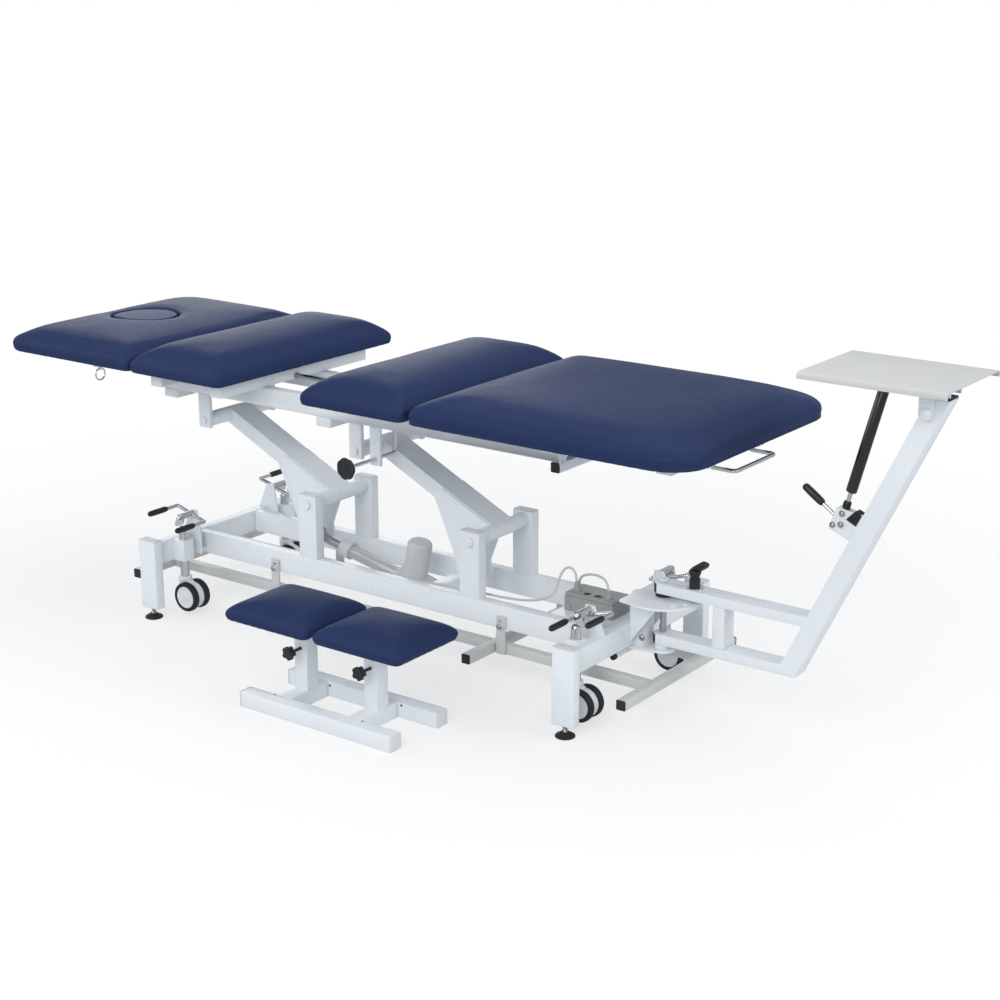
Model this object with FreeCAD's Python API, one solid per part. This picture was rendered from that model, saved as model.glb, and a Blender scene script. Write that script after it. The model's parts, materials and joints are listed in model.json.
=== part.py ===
"""Electric traction table with a swing-arm platform and a two-seat stool.

Millimetres. X runs along the table (head at -X), Y to the back, Z up.
The origin is on the floor, under the centre of the base.
"""
import FreeCAD, Part
import math
import os

V = FreeCAD.Vector
CX = V(1, 0, 0)
CY = V(0, 1, 0)
CZ = V(0, 0, 1)
ENDS = (("head", -1), ("foot", 1))
SIDES = (("front", -1), ("back", 1))

# Clearances
RUN_FIT = 0.05
SLIP = 0.3

# Base frame
TUBE_W = 60.0
TUBE_T = 30.0
LEG_X = 683.0
LEG_Y = 297.0
LEG_BOTTOM = 30.0
LEG_TOP = 222.0
RAIL_Z0 = 150.0
RAIL_Z1 = 210.0
CROSS_X0 = 668.0
RAIL_Y0 = 99.0
FOOT_R = 24.5
FOOT_H = 10.0
STUD_R = 6.0

# Lift linkage
PIVOT_HEAD_X = -260.0
PIVOT_SPACING = 536.0
PIVOT_Z = 358.0
UPRIGHT_TOP = 381.0
ARM_DX = -362.0
ARM_DZ = 175.0
ARM_W = 80.0
ARM_T = 40.0
ARM_TUBE_R = 20.0
CRANK_T = 6.0
CRANK_DX = -75.0
CRANK_DZ = -131.0
CRANK_BACK = ((-112.0, -71.0), (-173.0, 66.0), (-150.0, 92.0))
CRANK_R = 25.0
LOWER_PIN_R = 8.0
UPPER_PIN_R = 6.0
BOLT_HEAD_R = 13.0
BOLT_HEAD_H = 7.0

# Actuator
REAR_X = 70.0
REAR_Z = 142.0
REAR_PIN_R = 6.0
ROD_R = 12.0
ROD_IN = 214.0
EYE_R = 21.0
EYE_PLAY = 10.4
EYE_HALF = 14.0
TUBE_R = 18.0
TUBE_S0 = 88.0
TUBE_S1 = 292.0
COLLAR_R = 24.0
COLLAR_L = 34.0
GEAR_HALF_Y = 27.0
MOTOR_R = 33.0
MOTOR_H = 126.0
MOTOR_S = 337.0
LUG_T = 6.0
LUG_Y = 12.0

# Control box and leads
BOX_X0 = 500.0
BOX_X1 = 640.0
BOX_Y0 = -35.0
BOX_Y1 = 45.0
TRAY_Z1 = 200.0
TRAY_T = 3.0
BOX_H = 46.0
PLUG_R = 10.0
PLUG_Y = -15.0
PLUG_1_X = 523.0
PLUG_2_X = 617.0
PLUG_1_H = 16.0
PLUG_2_H = 10.0
LEAD_R = 3.0
LEAD_BEND = 14.0

# Casters and pedals
CASTER_X = 649.0
CASTER_Y = 205.0
SLEEVE_W = 38.0
STEM_R = 12.5
STEM_TOP = 247.0
STEM_BOTTOM = 104.0
NECK_R = 19.0
NECK_BOTTOM = 92.0
TRAIL = 24.0
WHEEL_R = 41.0
WHEEL_Z = 51.0
WHEEL_T = 19.0
YOKE_HALF = 10.0
YOKE_R = 36.0
WHEEL_GAP = 1.5
AXLE_R = 5.0
PEDAL_X = 655.0
PEDAL_Z = 271.0
PEDAL_HALF = 53.0
PEDAL_TILT = 16.0
PEDAL_SHIFT = {-1: (0.0, 0.0), 1: (19.0, -8.0)}
PEDAL_TRAVEL = 32.0
PEDAL_ROD_R = 5.5
PEDAL_Y = 166.0
PEDAL_EAR_IN = 28.0
PEDAL_PIN_R = 5.0
HUB_R = 9.0
CAM_R0 = 23.4
CAM_GROW = 9.8
CAM_T = 9.0
GRIP_R = 7.5
GRIP_Y0 = 206.0
GRIP_Y1 = 276.0
PLATE_T = 6.0

# Top frame
TOP_Y0 = 101.0
TOP_T = 30.0
TOP_Z0 = 605.0
TOP_Z1 = 655.0
TOP_X0 = -774.0
TOP_X1 = 548.0
TIE_H = 25.0
TIES = ((-771.0, -722.0), (-218.0, -168.0), (523.0, 548.0))
BRACKET_W = 40.0
BRACKET_T = 12.0
BRACKET_DROP = 20.0
CHEST_BEAMS = ((-655.0, -615.0), (-440.0, -400.0))
CHEST_BEAM_Y = 290.0
LOCK_X = -20.0
LOCK_Z = 523.0
LOCK_R = 5.0
LOCK_Y0 = -250.0
LOCK_Y1 = -52.0
LOCK_TOP = 640.0
LOCK_PLATE_HALF = 17.0
KNOB_R = 29.0
KNOB_T = 22.0
KNOB_LOBES = 5
DAMPER_Z = 664.0
DAMPER_ROD_R = 6.5
DAMPER_CYL_R = 13.5
DAMPER_ROD_X1 = 0.0
DAMPER_CYL_X0 = -60.0
DAMPER_CYL_X1 = 330.0
STOP_X = -232.0
STOP_R = 5.0
STOP_H = 40.0

# Cushions: profile rows are (height, inset)
SEAT_Z = 698.0
HALF_W = 350.0
HEAD_X = (-1158.0, -677.5)
CHEST_X = (-673.5, -350.0)
PELVIS_X = (-80.0, 243.0)
LEG_X_SPAN = (254.0, 1020.0)
CORNER_R = 30.0
CORNER_OPEN = 0.5
LEG_END_R = 95.0
HEAD_END_R = 50.0
FULL_ROWS = ((0, 6), (11, 1.5), (23, 0), (39, 6), (55, 24), (69, 54), (79, 90), (84.5, 122), (86, 140))
HEAD_ROWS = ((0, 6), (11, 1.5), (22, 0), (36, 5), (50, 20), (60, 48), (67, 92), (71.5, 145), (73, 200))
LEG_ROWS = ((0, 6), (11, 1.5), (22, 0), (39, 5), (55, 20), (67, 48), (75, 92), (79.5, 145), (81, 200))
STOOL_ROWS = ((0, 7), (8, 2.4), (16, 0.2), (25, 2), (34, 10), (43, 28), (50, 50), (55.5, 73), (58, 92))
FACE_IN = 187.0
FACE_X = HEAD_X[0] + FACE_IN
FACE_RX = 102.0
FACE_CUT = 120.0
FACE_RY = 84.0

# Head section
TILT_X = -675.5
TILT_Z = 690.0
TILT_R = 8.0
TILT_PIN_R = 4.0
TILT_Y = 200.0
TILT_EAR_T = 8.0
HEAD_BAR_Y = 216.0
HEAD_BAR_W = 24.0
HEAD_BAR_Z0 = 672.0
HEAD_BAR_X0 = -1040.0
HEAD_BAR_X1 = -700.0
RING_X = -812.0
RING_Y = -322.0
RING_Z = 676.5
RING_R = 16.0
RING_WIRE_R = 2.0

# Carriage
SLIDE_X0 = 36.0
SLIDE_X1 = LEG_X_SPAN[1] - 71.0
SLIDE_Z0 = 658.0
GLIDE_GAP = 0.3
GLIDES = (70.0, 190.0, 310.0, 430.0)
GLIDE_L = 60.0
SLIDE_BARS = ((36.0, 76.0), (244.0, 270.0), (600.0, 640.0), (SLIDE_X1 - 40.0, SLIDE_X1))
SLIDE_BAR_Z0 = 677.5
SLIDE_BAR_Y = 290.0
HANDLE_X = LEG_X_SPAN[1] - 23.0
HANDLE_Y = 92.0
HANDLE_Z = SLIDE_BAR_Z0 - 26.0
HANDLE_R = 5.0
HANDLE_BEND = 11.0

# Turret and swing arm
COLUMN_X = 705.0
COLUMN_R = 28.0
COLUMN_Z0 = 150.0
D_Z0 = 277.0
D_T = 6.0
D_Z1 = D_Z0 + D_T
D_BACK = 694.0
D_BACK_HALF = 90.0
D_R = 102.0
LOW_PLATE_Z0 = 144.0
LOW_PLATE_R = 32.0
STEP_BAR_IN = 17.0
STEP_BAR_R = 7.0
STEP_BAR_HALF = 100.0
SWING_X = 764.0
SWING_PIN_R = 7.0
COLLAR_PIN_R = 20.0
ARM_HALF = 25.0
BAR_H = 25.0
UPPER_BAR_Z0 = D_Z1 + 11.0
UPPER_BAR = (UPPER_BAR_Z0, UPPER_BAR_Z0 + BAR_H)
LOWER_BAR_Z0 = 165.0
LOWER_BAR = (LOWER_BAR_Z0, LOWER_BAR_Z0 + BAR_H)
SWING_PIN_TOP = UPPER_BAR[1] + 7.0
BAR_X0 = 746.0
BAR_NOSE = 10.0
TIE_X = (912.0, 944.0)
POST_IN_BOTTOM = (1095.0, LOWER_BAR[1])
POST_IN_SLOPE = 298.0 / 633.0
POST_TOP_DROP = 45.0
POST_T = 44.0
INDEX_X = 848.0
INDEX_HOLE_R = 7.0
INDEX_STEP = 22.5
PLUNGER_R = 6.0
PLUNGER_TOP = UPPER_BAR[1] + 45.0
PLUNGER_GRIP = 44.0
HOUSING_R = 13.0
HOUSING_H = 24.0


def post_line(z):
    return POST_IN_BOTTOM[0] + (z - POST_IN_BOTTOM[1]) * POST_IN_SLOPE


# Platform and gas spring
PLAT_HALF = 140.0
PLAT_TOP = 911.0
PLAT_LIP = 15.0
PLAT_T = 3.0
HINGE_DROP = 78.0
HINGE_Z = PLAT_TOP - HINGE_DROP
HINGE_IN = 14.3
HINGE_X = round(post_line(HINGE_Z) + HINGE_IN, 1)
PLAT_BACK = 252.0
PLAT_FRONT = 98.0
PLAT_X0 = HINGE_X - PLAT_BACK
PLAT_X1 = HINGE_X + PLAT_FRONT
HINGE_R = 5.0
TAB_T = 6.0
TAB_HALF = 20.0
GAS_DROP = 336.0
GAS_LOW_Z = PLAT_TOP - GAS_DROP
GAS_OFF = 52.2
GAS_LOW_X = round(post_line(GAS_LOW_Z) - GAS_OFF, 1)
GAS_UP_IN = 106.0
GAS_UP_X = HINGE_X - GAS_UP_IN
GAS_UP_DROP = 25.0
GAS_UP_Z = PLAT_TOP - GAS_UP_DROP
GAS_ROD_R = 5.0
GAS_BODY_R = 11.0
GAS_PIN_R = 4.0
GAS_EYE_R = 10.0
GAS_PLAY = 2.2
GAS_BODY_S0 = 52.0
GAS_BODY_S1 = 300.0
GAS_ROD_END = 240.0
GAS_LUG_Y = 6.0
GAS_LUG_EDGE = 18.0
LEVER_X = GAS_LOW_X - 2.0
LEVER_Z = GAS_LOW_Z - 26.0
LEVER_TIP_X = LEVER_X - 101.0
LEVER_TIP_Z = LEVER_Z + 72.0
LEVER_R = 4.5
LEVER_GRIP_R = 8.5
LEVER_GRIP = 0.5

# Foot-switch frame
BAR_W = 25.0
BAR_Z = 97.0
BAR_Y = 117.0
BAR_CROSS = ((-781.0, 258.0), (346.0, 236.0), (811.0, 257.0))
HANGER_X = 377.0
HANGER_T = 6.0
HANGER_TOP = 184.0
HANGER_BOLT_Z = 160.0
HANGER_BOLT_R = 5.0
HANGER_PLAY = 8.5

# Stool
ST_TUBE = 40.0
ST_X = (-56.0, 412.0)
ST_FRONT_Y = -594.0
ST_BACK_Y = -420.0
ST_POST_X = (55.0, 275.0)
ST_POST_Y = -495.0
ST_SLEEVE_TOP = 176.0
ST_POST_W = 32.0
ST_POST_Z0 = 80.0
ST_SEAT_Z = 211.0
ST_SEAT_X = ((-107.0, 157.0), (173.0, 437.0))
ST_SEAT_Y = (-612.0, -375.0)
ST_PLATE = 6.0
ST_PLATE_W = 150.0
ST_KNOB_Z = 146.0
ST_KNOB_OUT = 34.0
ST_KNOB_R = 17.0
ST_KNOB_T = 14.0
ST_SCREW_R = 4.0


def box(x0, x1, y0, y1, z0, z1):
    return Part.makeBox(x1 - x0, y1 - y0, z1 - z0, V(x0, y0, z0))


def block(x, y, z0, z1, wx, wy):
    return box(x - wx / 2, x + wx / 2, y - wy / 2, y + wy / 2, z0, z1)


def rod(p, q, r):
    d = V(*q) - V(*p)
    return Part.makeCylinder(r, d.Length, V(*p), d)


def span_y(a, b, side):
    return (a, b) if side > 0 else (-b, -a)


def prism_xz(points, y0, y1):
    pts = [V(x, y0, z) for x, z in points]
    face = Part.Face(Part.makePolygon(pts + [pts[0]]))
    return face.extrude(V(0, y1 - y0, 0))


def prism_xy(points, z0, z1):
    pts = [V(x, y, z0) for x, y in points]
    face = Part.Face(Part.makePolygon(pts + [pts[0]]))
    return face.extrude(V(0, 0, z1 - z0))


def join(shapes):
    return shapes[0].fuse(list(shapes[1:])).removeSplitter()


def group(shapes):
    solids = []
    for shape in shapes:
        solids.extend(shape.Solids)
    return Part.makeCompound(solids)


def rounded_wire(x0, x1, y0, y1, z, r_low, r_high):
    """Rounded rectangle; r_low rounds the two -X corners and r_high the two +X corners."""
    k = math.sqrt(0.5)
    edges = []
    corners = ((x1, y0, r_high, 1, -1), (x1, y1, r_high, 1, 1), (x0, y1, r_low, -1, 1), (x0, y0, r_low, -1, -1))
    arcs = []
    for x, y, r, sx, sy in corners:
        cx = x - sx * r
        cy = y - sy * r
        on_x = V(x, cy, z)
        on_y = V(cx, y, z)
        first, last = (on_y, on_x) if sx * sy < 0 else (on_x, on_y)
        arcs.append((first, V(cx + sx * r * k, cy + sy * r * k, z), last))
    for i, (first, mid, last) in enumerate(arcs):
        edges.append(Part.Arc(first, mid, last).toShape())
        edges.append(Part.makeLine(last, arcs[(i + 1) % 4][0]))
    return Part.Wire(edges)


def cushion(xs, ys, z0, rows, r_low, r_high):
    """Padded section: drawn in at the board, widest low down, crowned on top."""
    wires = []
    for height, inset in rows:
        most = 0.45 * min(xs[1] - xs[0] - 2 * inset, ys[1] - ys[0] - 2 * inset)
        low = min(r_low + CORNER_OPEN * inset, most)
        high = min(r_high + CORNER_OPEN * inset, most)
        ring = rounded_wire(xs[0] + inset, xs[1] - inset, ys[0] + inset, ys[1] - inset, z0 + height, low, high)
        wires.append(ring)
    return Part.makeLoft(wires, True, False)


def oval(x, rx, ry, z0, z1):
    edge = Part.Ellipse(V(x, 0, z0), rx, ry).toShape()
    return Part.Face(Part.Wire([edge])).extrude(V(0, 0, z1 - z0))


def bent_wire(points, bend):
    """Wire through points with an arc of the given radius at each corner."""
    pts = [V(*p) for p in points]
    edges = []
    start = pts[0]
    for before, here, after in zip(pts, pts[1:], pts[2:]):
        u = (before - here).normalize()
        w = (after - here).normalize()
        half = math.acos(max(-1.0, min(1.0, u.dot(w)))) / 2
        reach = bend / math.tan(half)
        middle = (u + w).normalize()
        first = here + u * reach
        last = here + w * reach
        edges.append(Part.makeLine(start, first))
        edges.append(Part.Arc(first, here + middle * (bend / math.sin(half) - bend), last).toShape())
        start = last
    edges.append(Part.makeLine(start, pts[-1]))
    return Part.Wire(edges)


def bent_rod(points, bend, r):
    path = bent_wire(points, bend)
    first = path.Edges[0]
    tangent = first.tangentAt(first.FirstParameter)
    profile = Part.Wire([Part.makeCircle(r, V(*points[0]), tangent)])
    return path.makePipeShell([profile], True, False)


def lobed(r, lobes, depth, start, direction, length):
    """Star knob: a disc with round grip hollows cut from its rim."""
    body = Part.makeCylinder(r, length, start, direction)
    side = CX
    other = direction.cross(side)
    for i in range(lobes):
        a = 2 * math.pi * (i + 0.5) / lobes
        at = start + side * ((r + depth) * math.cos(a)) + other * ((r + depth) * math.sin(a))
        body = body.cut(Part.makeCylinder(2 * depth, length, at, direction))
    return body


def upright_x():
    return (PIVOT_HEAD_X, PIVOT_HEAD_X + PIVOT_SPACING)


def legs():
    return group([block(sx * LEG_X, sy * LEG_Y, LEG_BOTTOM, LEG_TOP, TUBE_W, TUBE_T)
                  for _, sx in ENDS for _, sy in SIDES])


def levelling_feet():
    feet = []
    for _, sx in ENDS:
        for _, sy in SIDES:
            x = sx * LEG_X
            y = sy * LEG_Y
            disc = Part.makeCone(FOOT_R, FOOT_R * 0.72, FOOT_H, V(x, y, 0), CZ)
            stud = Part.makeCylinder(STUD_R, LEG_BOTTOM - FOOT_H, V(x, y, FOOT_H), CZ)
            feet.append(join([disc, stud]))
    return group(feet)


def base_rails():
    inner = LEG_Y - TUBE_T / 2
    parts = []
    for _, sx in ENDS:
        xs = span_y(CROSS_X0, CROSS_X0 + TUBE_T, sx)
        parts.append(box(xs[0], xs[1], -inner, inner, RAIL_Z0, RAIL_Z1))
    for _, sy in SIDES:
        ys = span_y(RAIL_Y0, RAIL_Y0 + TUBE_T, sy)
        parts.append(box(-CROSS_X0, CROSS_X0, ys[0], ys[1], RAIL_Z0, RAIL_Z1))
    return group(parts)


def uprights():
    posts = []
    for x in upright_x():
        for _, sy in SIDES:
            ys = span_y(RAIL_Y0, RAIL_Y0 + TUBE_T, sy)
            post = box(x - TUBE_W / 2, x + TUBE_W / 2, ys[0], ys[1], RAIL_Z1, UPRIGHT_TOP)
            hole = rod((x, ys[0] - 1, PIVOT_Z), (x, ys[1] + 1, PIVOT_Z), LOWER_PIN_R + RUN_FIT)
            posts.append(post.cut(hole))
    return group(posts)


def headed_pin(x, z, r, face_y, head_r, head_h):
    shaft = rod((x, -face_y, z), (x, face_y, z), r)
    heads = [rod((x, s * face_y, z), (x, s * (face_y + head_h), z), head_r) for s in (-1, 1)]
    return join([shaft] + heads)


def pivot_pins():
    face = RAIL_Y0 + TUBE_T
    pins = [headed_pin(x, PIVOT_Z, LOWER_PIN_R, face, BOLT_HEAD_R, BOLT_HEAD_H) for x in upright_x()]
    pins.append(headed_pin(REAR_X, REAR_Z, REAR_PIN_R, LUG_Y + LUG_T, 10.0, 4.0))
    pin = Part.makeCylinder(SWING_PIN_R, SWING_PIN_TOP - LOW_PLATE_Z0, V(SWING_X, 0, LOW_PLATE_Z0), CZ)
    low = Part.makeCylinder(COLLAR_PIN_R, LOWER_BAR[0] - SLIP - RAIL_Z0, V(SWING_X, 0, RAIL_Z0), CZ)
    high = Part.makeCylinder(COLLAR_PIN_R, UPPER_BAR[0] - SLIP - D_Z1, V(SWING_X, 0, D_Z1), CZ)
    cap = Part.makeCylinder(COLLAR_PIN_R * 0.6, 6.0, V(SWING_X, 0, SWING_PIN_TOP - 6.0), CZ)
    pins.append(join([pin, low, high, cap]))
    return group(pins)


def base_brackets():
    inner = RAIL_Y0
    tube = box(REAR_X + 20, REAR_X + 60, -inner, inner, RAIL_Z0, RAIL_Z0 + 40)
    lugs = []
    for s in (-1, 1):
        ys = span_y(LUG_Y, LUG_Y + LUG_T, s)
        outline = [(REAR_X - 14, REAR_Z - 10), (REAR_X + 20, REAR_Z - 10), (REAR_X + 20, RAIL_Z0 + 24),
                   (REAR_X + 6, RAIL_Z0 + 24), (REAR_X - 14, REAR_Z + 14)]
        lug = prism_xz(outline, ys[0], ys[1])
        hole = rod((REAR_X, ys[0] - 1, REAR_Z), (REAR_X, ys[1] + 1, REAR_Z), REAR_PIN_R + RUN_FIT)
        lugs.append(lug.cut(hole))
    tray = box(BOX_X0 - 16, BOX_X1 + 16, -inner, inner, TRAY_Z1 - TRAY_T, TRAY_Z1)
    bolts = []
    face = RAIL_Y0 + TUBE_T
    for _, sx in ENDS:
        for _, sy in SIDES:
            a = (sx * HANGER_X, sy * face, HANGER_BOLT_Z)
            b = (sx * HANGER_X, sy * (face + HANGER_T + 1.5), HANGER_BOLT_Z)
            c = (sx * HANGER_X, sy * (face + HANGER_T + 6.0), HANGER_BOLT_Z)
            bolts.append(join([rod(a, b, HANGER_BOLT_R), rod(b, c, 9.5)]))
    return group([tube, tray] + lugs + bolts)


def control_box():
    body = box(BOX_X0, BOX_X1, BOX_Y0, BOX_Y1, TRAY_Z1, TRAY_Z1 + BOX_H)
    body = body.makeFillet(5.0, [e for e in body.Edges if abs(e.tangentAt(e.FirstParameter).z) > 0.9])
    top = TRAY_Z1 + BOX_H
    plug_1 = Part.makeCylinder(PLUG_R, PLUG_1_H, V(PLUG_1_X, PLUG_Y, top), CZ)
    plug_2 = Part.makeCylinder(PLUG_R, PLUG_2_H, V(PLUG_2_X, PLUG_Y, top), CZ)
    return join([body, plug_1, plug_2])


def control_leads():
    top = TRAY_Z1 + BOX_H
    lie = TRAY_Z1 + LEAD_R
    motor_lead = bent_rod([
        (REAR_X - 22, -GEAR_HALF_Y - 1.0, REAR_Z + 18),
        (REAR_X - 22, -62.0, REAR_Z + 18),
        (REAR_X + 12, -62.0, lie),
        (BOX_X0 - 22, -62.0, lie),
        (BOX_X0 - 22, PLUG_Y, top + 58),
        (PLUG_1_X, PLUG_Y, top + 58),
        (PLUG_1_X, PLUG_Y, top + PLUG_1_H)], LEAD_BEND, LEAD_R)
    switch_lead = bent_rod([
        (PLUG_2_X, PLUG_Y, top + PLUG_2_H),
        (PLUG_2_X, PLUG_Y, top + 46),
        (BOX_X0 + 52, 14.0, top + 46),
        (BOX_X0 - 6, 30.0, top + 20),
        (BOX_X0 - 6, 60.0, lie),
        (BOX_X0 - 6, RAIL_Y0 - 0.5, lie)], LEAD_BEND * 0.7, LEAD_R)
    return group([motor_lead, switch_lead])


def caster_sleeves():
    parts = []
    for _, sx in ENDS:
        for _, sy in SIDES:
            x = sx * CASTER_X
            y = sy * CASTER_Y
            sleeve = block(x, y, RAIL_Z0, RAIL_Z1, SLEEVE_W, SLEEVE_W)
            bore = Part.makeCylinder(STEM_R + RUN_FIT, RAIL_Z1 - RAIL_Z0 + 2, V(x, y, RAIL_Z0 - 1), CZ)
            parts.append(sleeve.cut(bore))
            y1 = CASTER_Y - SLEEVE_W / 2 - PEDAL_EAR_IN
            y0 = y1 - PLATE_T
            ys = span_y(y0, y0 + PLATE_T, sy)
            outline = [(CROSS_X0, RAIL_Z0 + 6), (CROSS_X0, RAIL_Z1), (CROSS_X0 + TUBE_T, RAIL_Z1),
                       (PEDAL_X + 12, PEDAL_Z + 9), (PEDAL_X - 12, PEDAL_Z + 9),
                       (PEDAL_X - 24, RAIL_Z1), (PEDAL_X - 24, RAIL_Z0 + 6)]
            plate = prism_xz([(sx * px, pz) for px, pz in outline], ys[0], ys[1])
            y2 = CASTER_Y + CAM_T + 2
            pin = rod((sx * PEDAL_X, sy * y1, PEDAL_Z), (sx * PEDAL_X, sy * y2, PEDAL_Z), PEDAL_PIN_R)
            link = rod((sx * (CASTER_X - 8), sy * y0, RAIL_Z0 + 14),
                       (sx * (CASTER_X - 8), sy * (RAIL_Y0 + TUBE_T), RAIL_Z0 + 14), 6.0)
            parts.append(join([plate, pin, link]))
    return group(parts)


def turret():
    column = Part.makeCylinder(COLUMN_R, D_Z0 - COLUMN_Z0, V(COLUMN_X, 0, COLUMN_Z0), CZ)
    beam = box(CROSS_X0, CROSS_X0 + TUBE_T, -LEG_Y, LEG_Y, RAIL_Z0 - TUBE_T, RAIL_Z1)
    column = column.cut(beam)
    rim = []
    for i in range(25):
        a = math.radians(-112 + 224 * i / 24)
        rim.append((SWING_X + D_R * math.cos(a), D_R * math.sin(a)))
    plate = prism_xy([(D_BACK, -D_BACK_HALF)] + rim + [(D_BACK, D_BACK_HALF)], D_Z0, D_Z1)
    for i in range(-2, 3):
        a = math.radians(INDEX_STEP * i)
        reach = INDEX_X - SWING_X
        at = V(SWING_X + reach * math.cos(a), reach * math.sin(a), D_Z0 - 1)
        plate = plate.cut(Part.makeCylinder(INDEX_HOLE_R, D_Z1 - D_Z0 + 2, at, CZ))
    pin_hole = Part.makeCylinder(SWING_PIN_R, D_Z1 - LOW_PLATE_Z0 + 2, V(SWING_X, 0, LOW_PLATE_Z0 - 1), CZ)
    edge = COLUMN_X + COLUMN_R - 1.0
    web = prism_xz([(edge, D_Z0), (edge, D_Z0 - 62), (SWING_X - 14, D_Z0 - 14), (SWING_X - 14, D_Z0)], -4, 4)
    wing = []
    for s in (-1, 1):
        ys = span_y(40.0, 46.0, s)
        wing.append(prism_xz([(CROSS_X0 + TUBE_T, D_Z0), (CROSS_X0 + TUBE_T, RAIL_Z0 + 12),
                              (SWING_X + 20, D_Z0)], ys[0], ys[1]))
    tip = []
    for i in range(13):
        a = math.radians(-90 + 180 * i / 12)
        tip.append((SWING_X + LOW_PLATE_R * math.cos(a), LOW_PLATE_R * math.sin(a)))
    low = prism_xy([(CROSS_X0, -50.0)] + tip + [(CROSS_X0, 50.0)], LOW_PLATE_Z0, RAIL_Z0)
    bar_at = (CROSS_X0 + STEP_BAR_IN, LOW_PLATE_Z0 - STEP_BAR_R)
    bar = rod((bar_at[0], -STEP_BAR_HALF, bar_at[1]), (bar_at[0], STEP_BAR_HALF, bar_at[1]), STEP_BAR_R)
    return group([column, web.cut(column), plate.cut(pin_hole)] + wing + [low.cut(pin_hole), bar])


def lift_arm(x):
    """Box beam with a torque tube, an upper cross tube and two crank plates."""
    up = (x + ARM_DX, PIVOT_Z + ARM_DZ)
    length = math.hypot(ARM_DX, ARM_DZ)
    ux = ARM_DX / length
    uz = ARM_DZ / length
    half = ARM_T / 2
    corners = [(x - uz * half, PIVOT_Z + ux * half), (up[0] - uz * half, up[1] + ux * half),
               (up[0] + uz * half, up[1] - ux * half), (x + uz * half, PIVOT_Z - ux * half)]
    beam = prism_xz(corners, -ARM_W / 2, ARM_W / 2)
    low_y = RAIL_Y0 - SLIP
    high_y = TOP_Y0 + TOP_T - BRACKET_T - SLIP
    torque = rod((x, -low_y, PIVOT_Z), (x, low_y, PIVOT_Z), ARM_TUBE_R)
    cross = rod((up[0], -high_y, up[1]), (up[0], high_y, up[1]), ARM_TUBE_R)
    tip = (x + CRANK_DX, PIVOT_Z + CRANK_DZ)
    outline = [(x, PIVOT_Z), (x - 24, PIVOT_Z - 12), (tip[0] + 15, tip[1] + 27), (tip[0] + 19, tip[1] - 6),
               (tip[0] + 8, tip[1] - CRANK_R + 5), (tip[0] - 8, tip[1] - CRANK_R + 5), (tip[0] - 20, tip[1] - 6),
               *[(x + dx, PIVOT_Z + dz) for dx, dz in CRANK_BACK], (x + 4, PIVOT_Z + 18)]
    cranks = []
    for s in (-1, 1):
        ys = span_y(ARM_W / 2, ARM_W / 2 + CRANK_T, s)
        cranks.append(prism_xz(outline, ys[0], ys[1]))
    pin_y = ARM_W / 2 + CRANK_T
    pin = rod((tip[0], -pin_y, tip[1]), (tip[0], pin_y, tip[1]), REAR_PIN_R)
    arm = join([beam, torque, cross, pin] + cranks)
    bores = [rod((x, -low_y - 1, PIVOT_Z), (x, low_y + 1, PIVOT_Z), LOWER_PIN_R + RUN_FIT),
             rod((up[0], -high_y - 1, up[1]), (up[0], high_y + 1, up[1]), UPPER_PIN_R + RUN_FIT)]
    return arm.cut(bores)


def actuator_axis():
    start = V(PIVOT_HEAD_X + CRANK_DX, 0, PIVOT_Z + CRANK_DZ)
    along = V(REAR_X, 0, REAR_Z) - start
    return start, along.normalize(), (V(REAR_X, 0, REAR_Z) - start).Length


def actuator_body():
    start, u, length = actuator_axis()
    n = V(-u.z, 0, u.x)
    tube = Part.makeCylinder(TUBE_R, TUBE_S1 - TUBE_S0, start + u * TUBE_S0, u)
    collar = Part.makeCylinder(COLLAR_R, COLLAR_L, start + u * TUBE_S0, u)
    bore = Part.makeCylinder(ROD_R + SLIP, TUBE_S1 - TUBE_S0 - 6, start + u * TUBE_S0, u)
    gear_s1 = length - 22
    pts = []
    for s, h in ((TUBE_S1, -26), (gear_s1, -20), (gear_s1, 24), (TUBE_S1, 28)):
        p = start + u * s + n * h
        pts.append((p.x, p.z))
    gear = prism_xz(pts, -GEAR_HALF_Y, GEAR_HALF_Y)
    pts = []
    for s, h in ((gear_s1 - 4, -9), (length + 10, -9), (length + 10, 9), (gear_s1 - 4, 9)):
        p = start + u * s + n * h
        pts.append((p.x, p.z))
    tongue = prism_xz(pts, -LUG_Y + SLIP, LUG_Y - SLIP)
    motor_at = start + u * MOTOR_S - n * 4
    motor = Part.makeCylinder(MOTOR_R, MOTOR_H, motor_at, n)
    motor = motor.makeFillet(12.0, [e for e in motor.Edges if e.Closed and e.CenterOfMass.z > motor_at.z + 60])
    hole = rod((REAR_X, -40, REAR_Z), (REAR_X, 40, REAR_Z), REAR_PIN_R + RUN_FIT)
    return join([tube, collar, gear, tongue, motor]).cut([bore, hole])


def actuator_rod():
    start, u, _ = actuator_axis()
    shaft = Part.makeCylinder(ROD_R, ROD_IN, start, u)
    eye = rod((start.x, -EYE_HALF, start.z), (start.x, EYE_HALF, start.z), EYE_R)
    play = rod((start.x, -30, start.z), (start.x, 30, start.z), REAR_PIN_R + EYE_PLAY)
    return join([shaft, eye]).cut(play)


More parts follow.
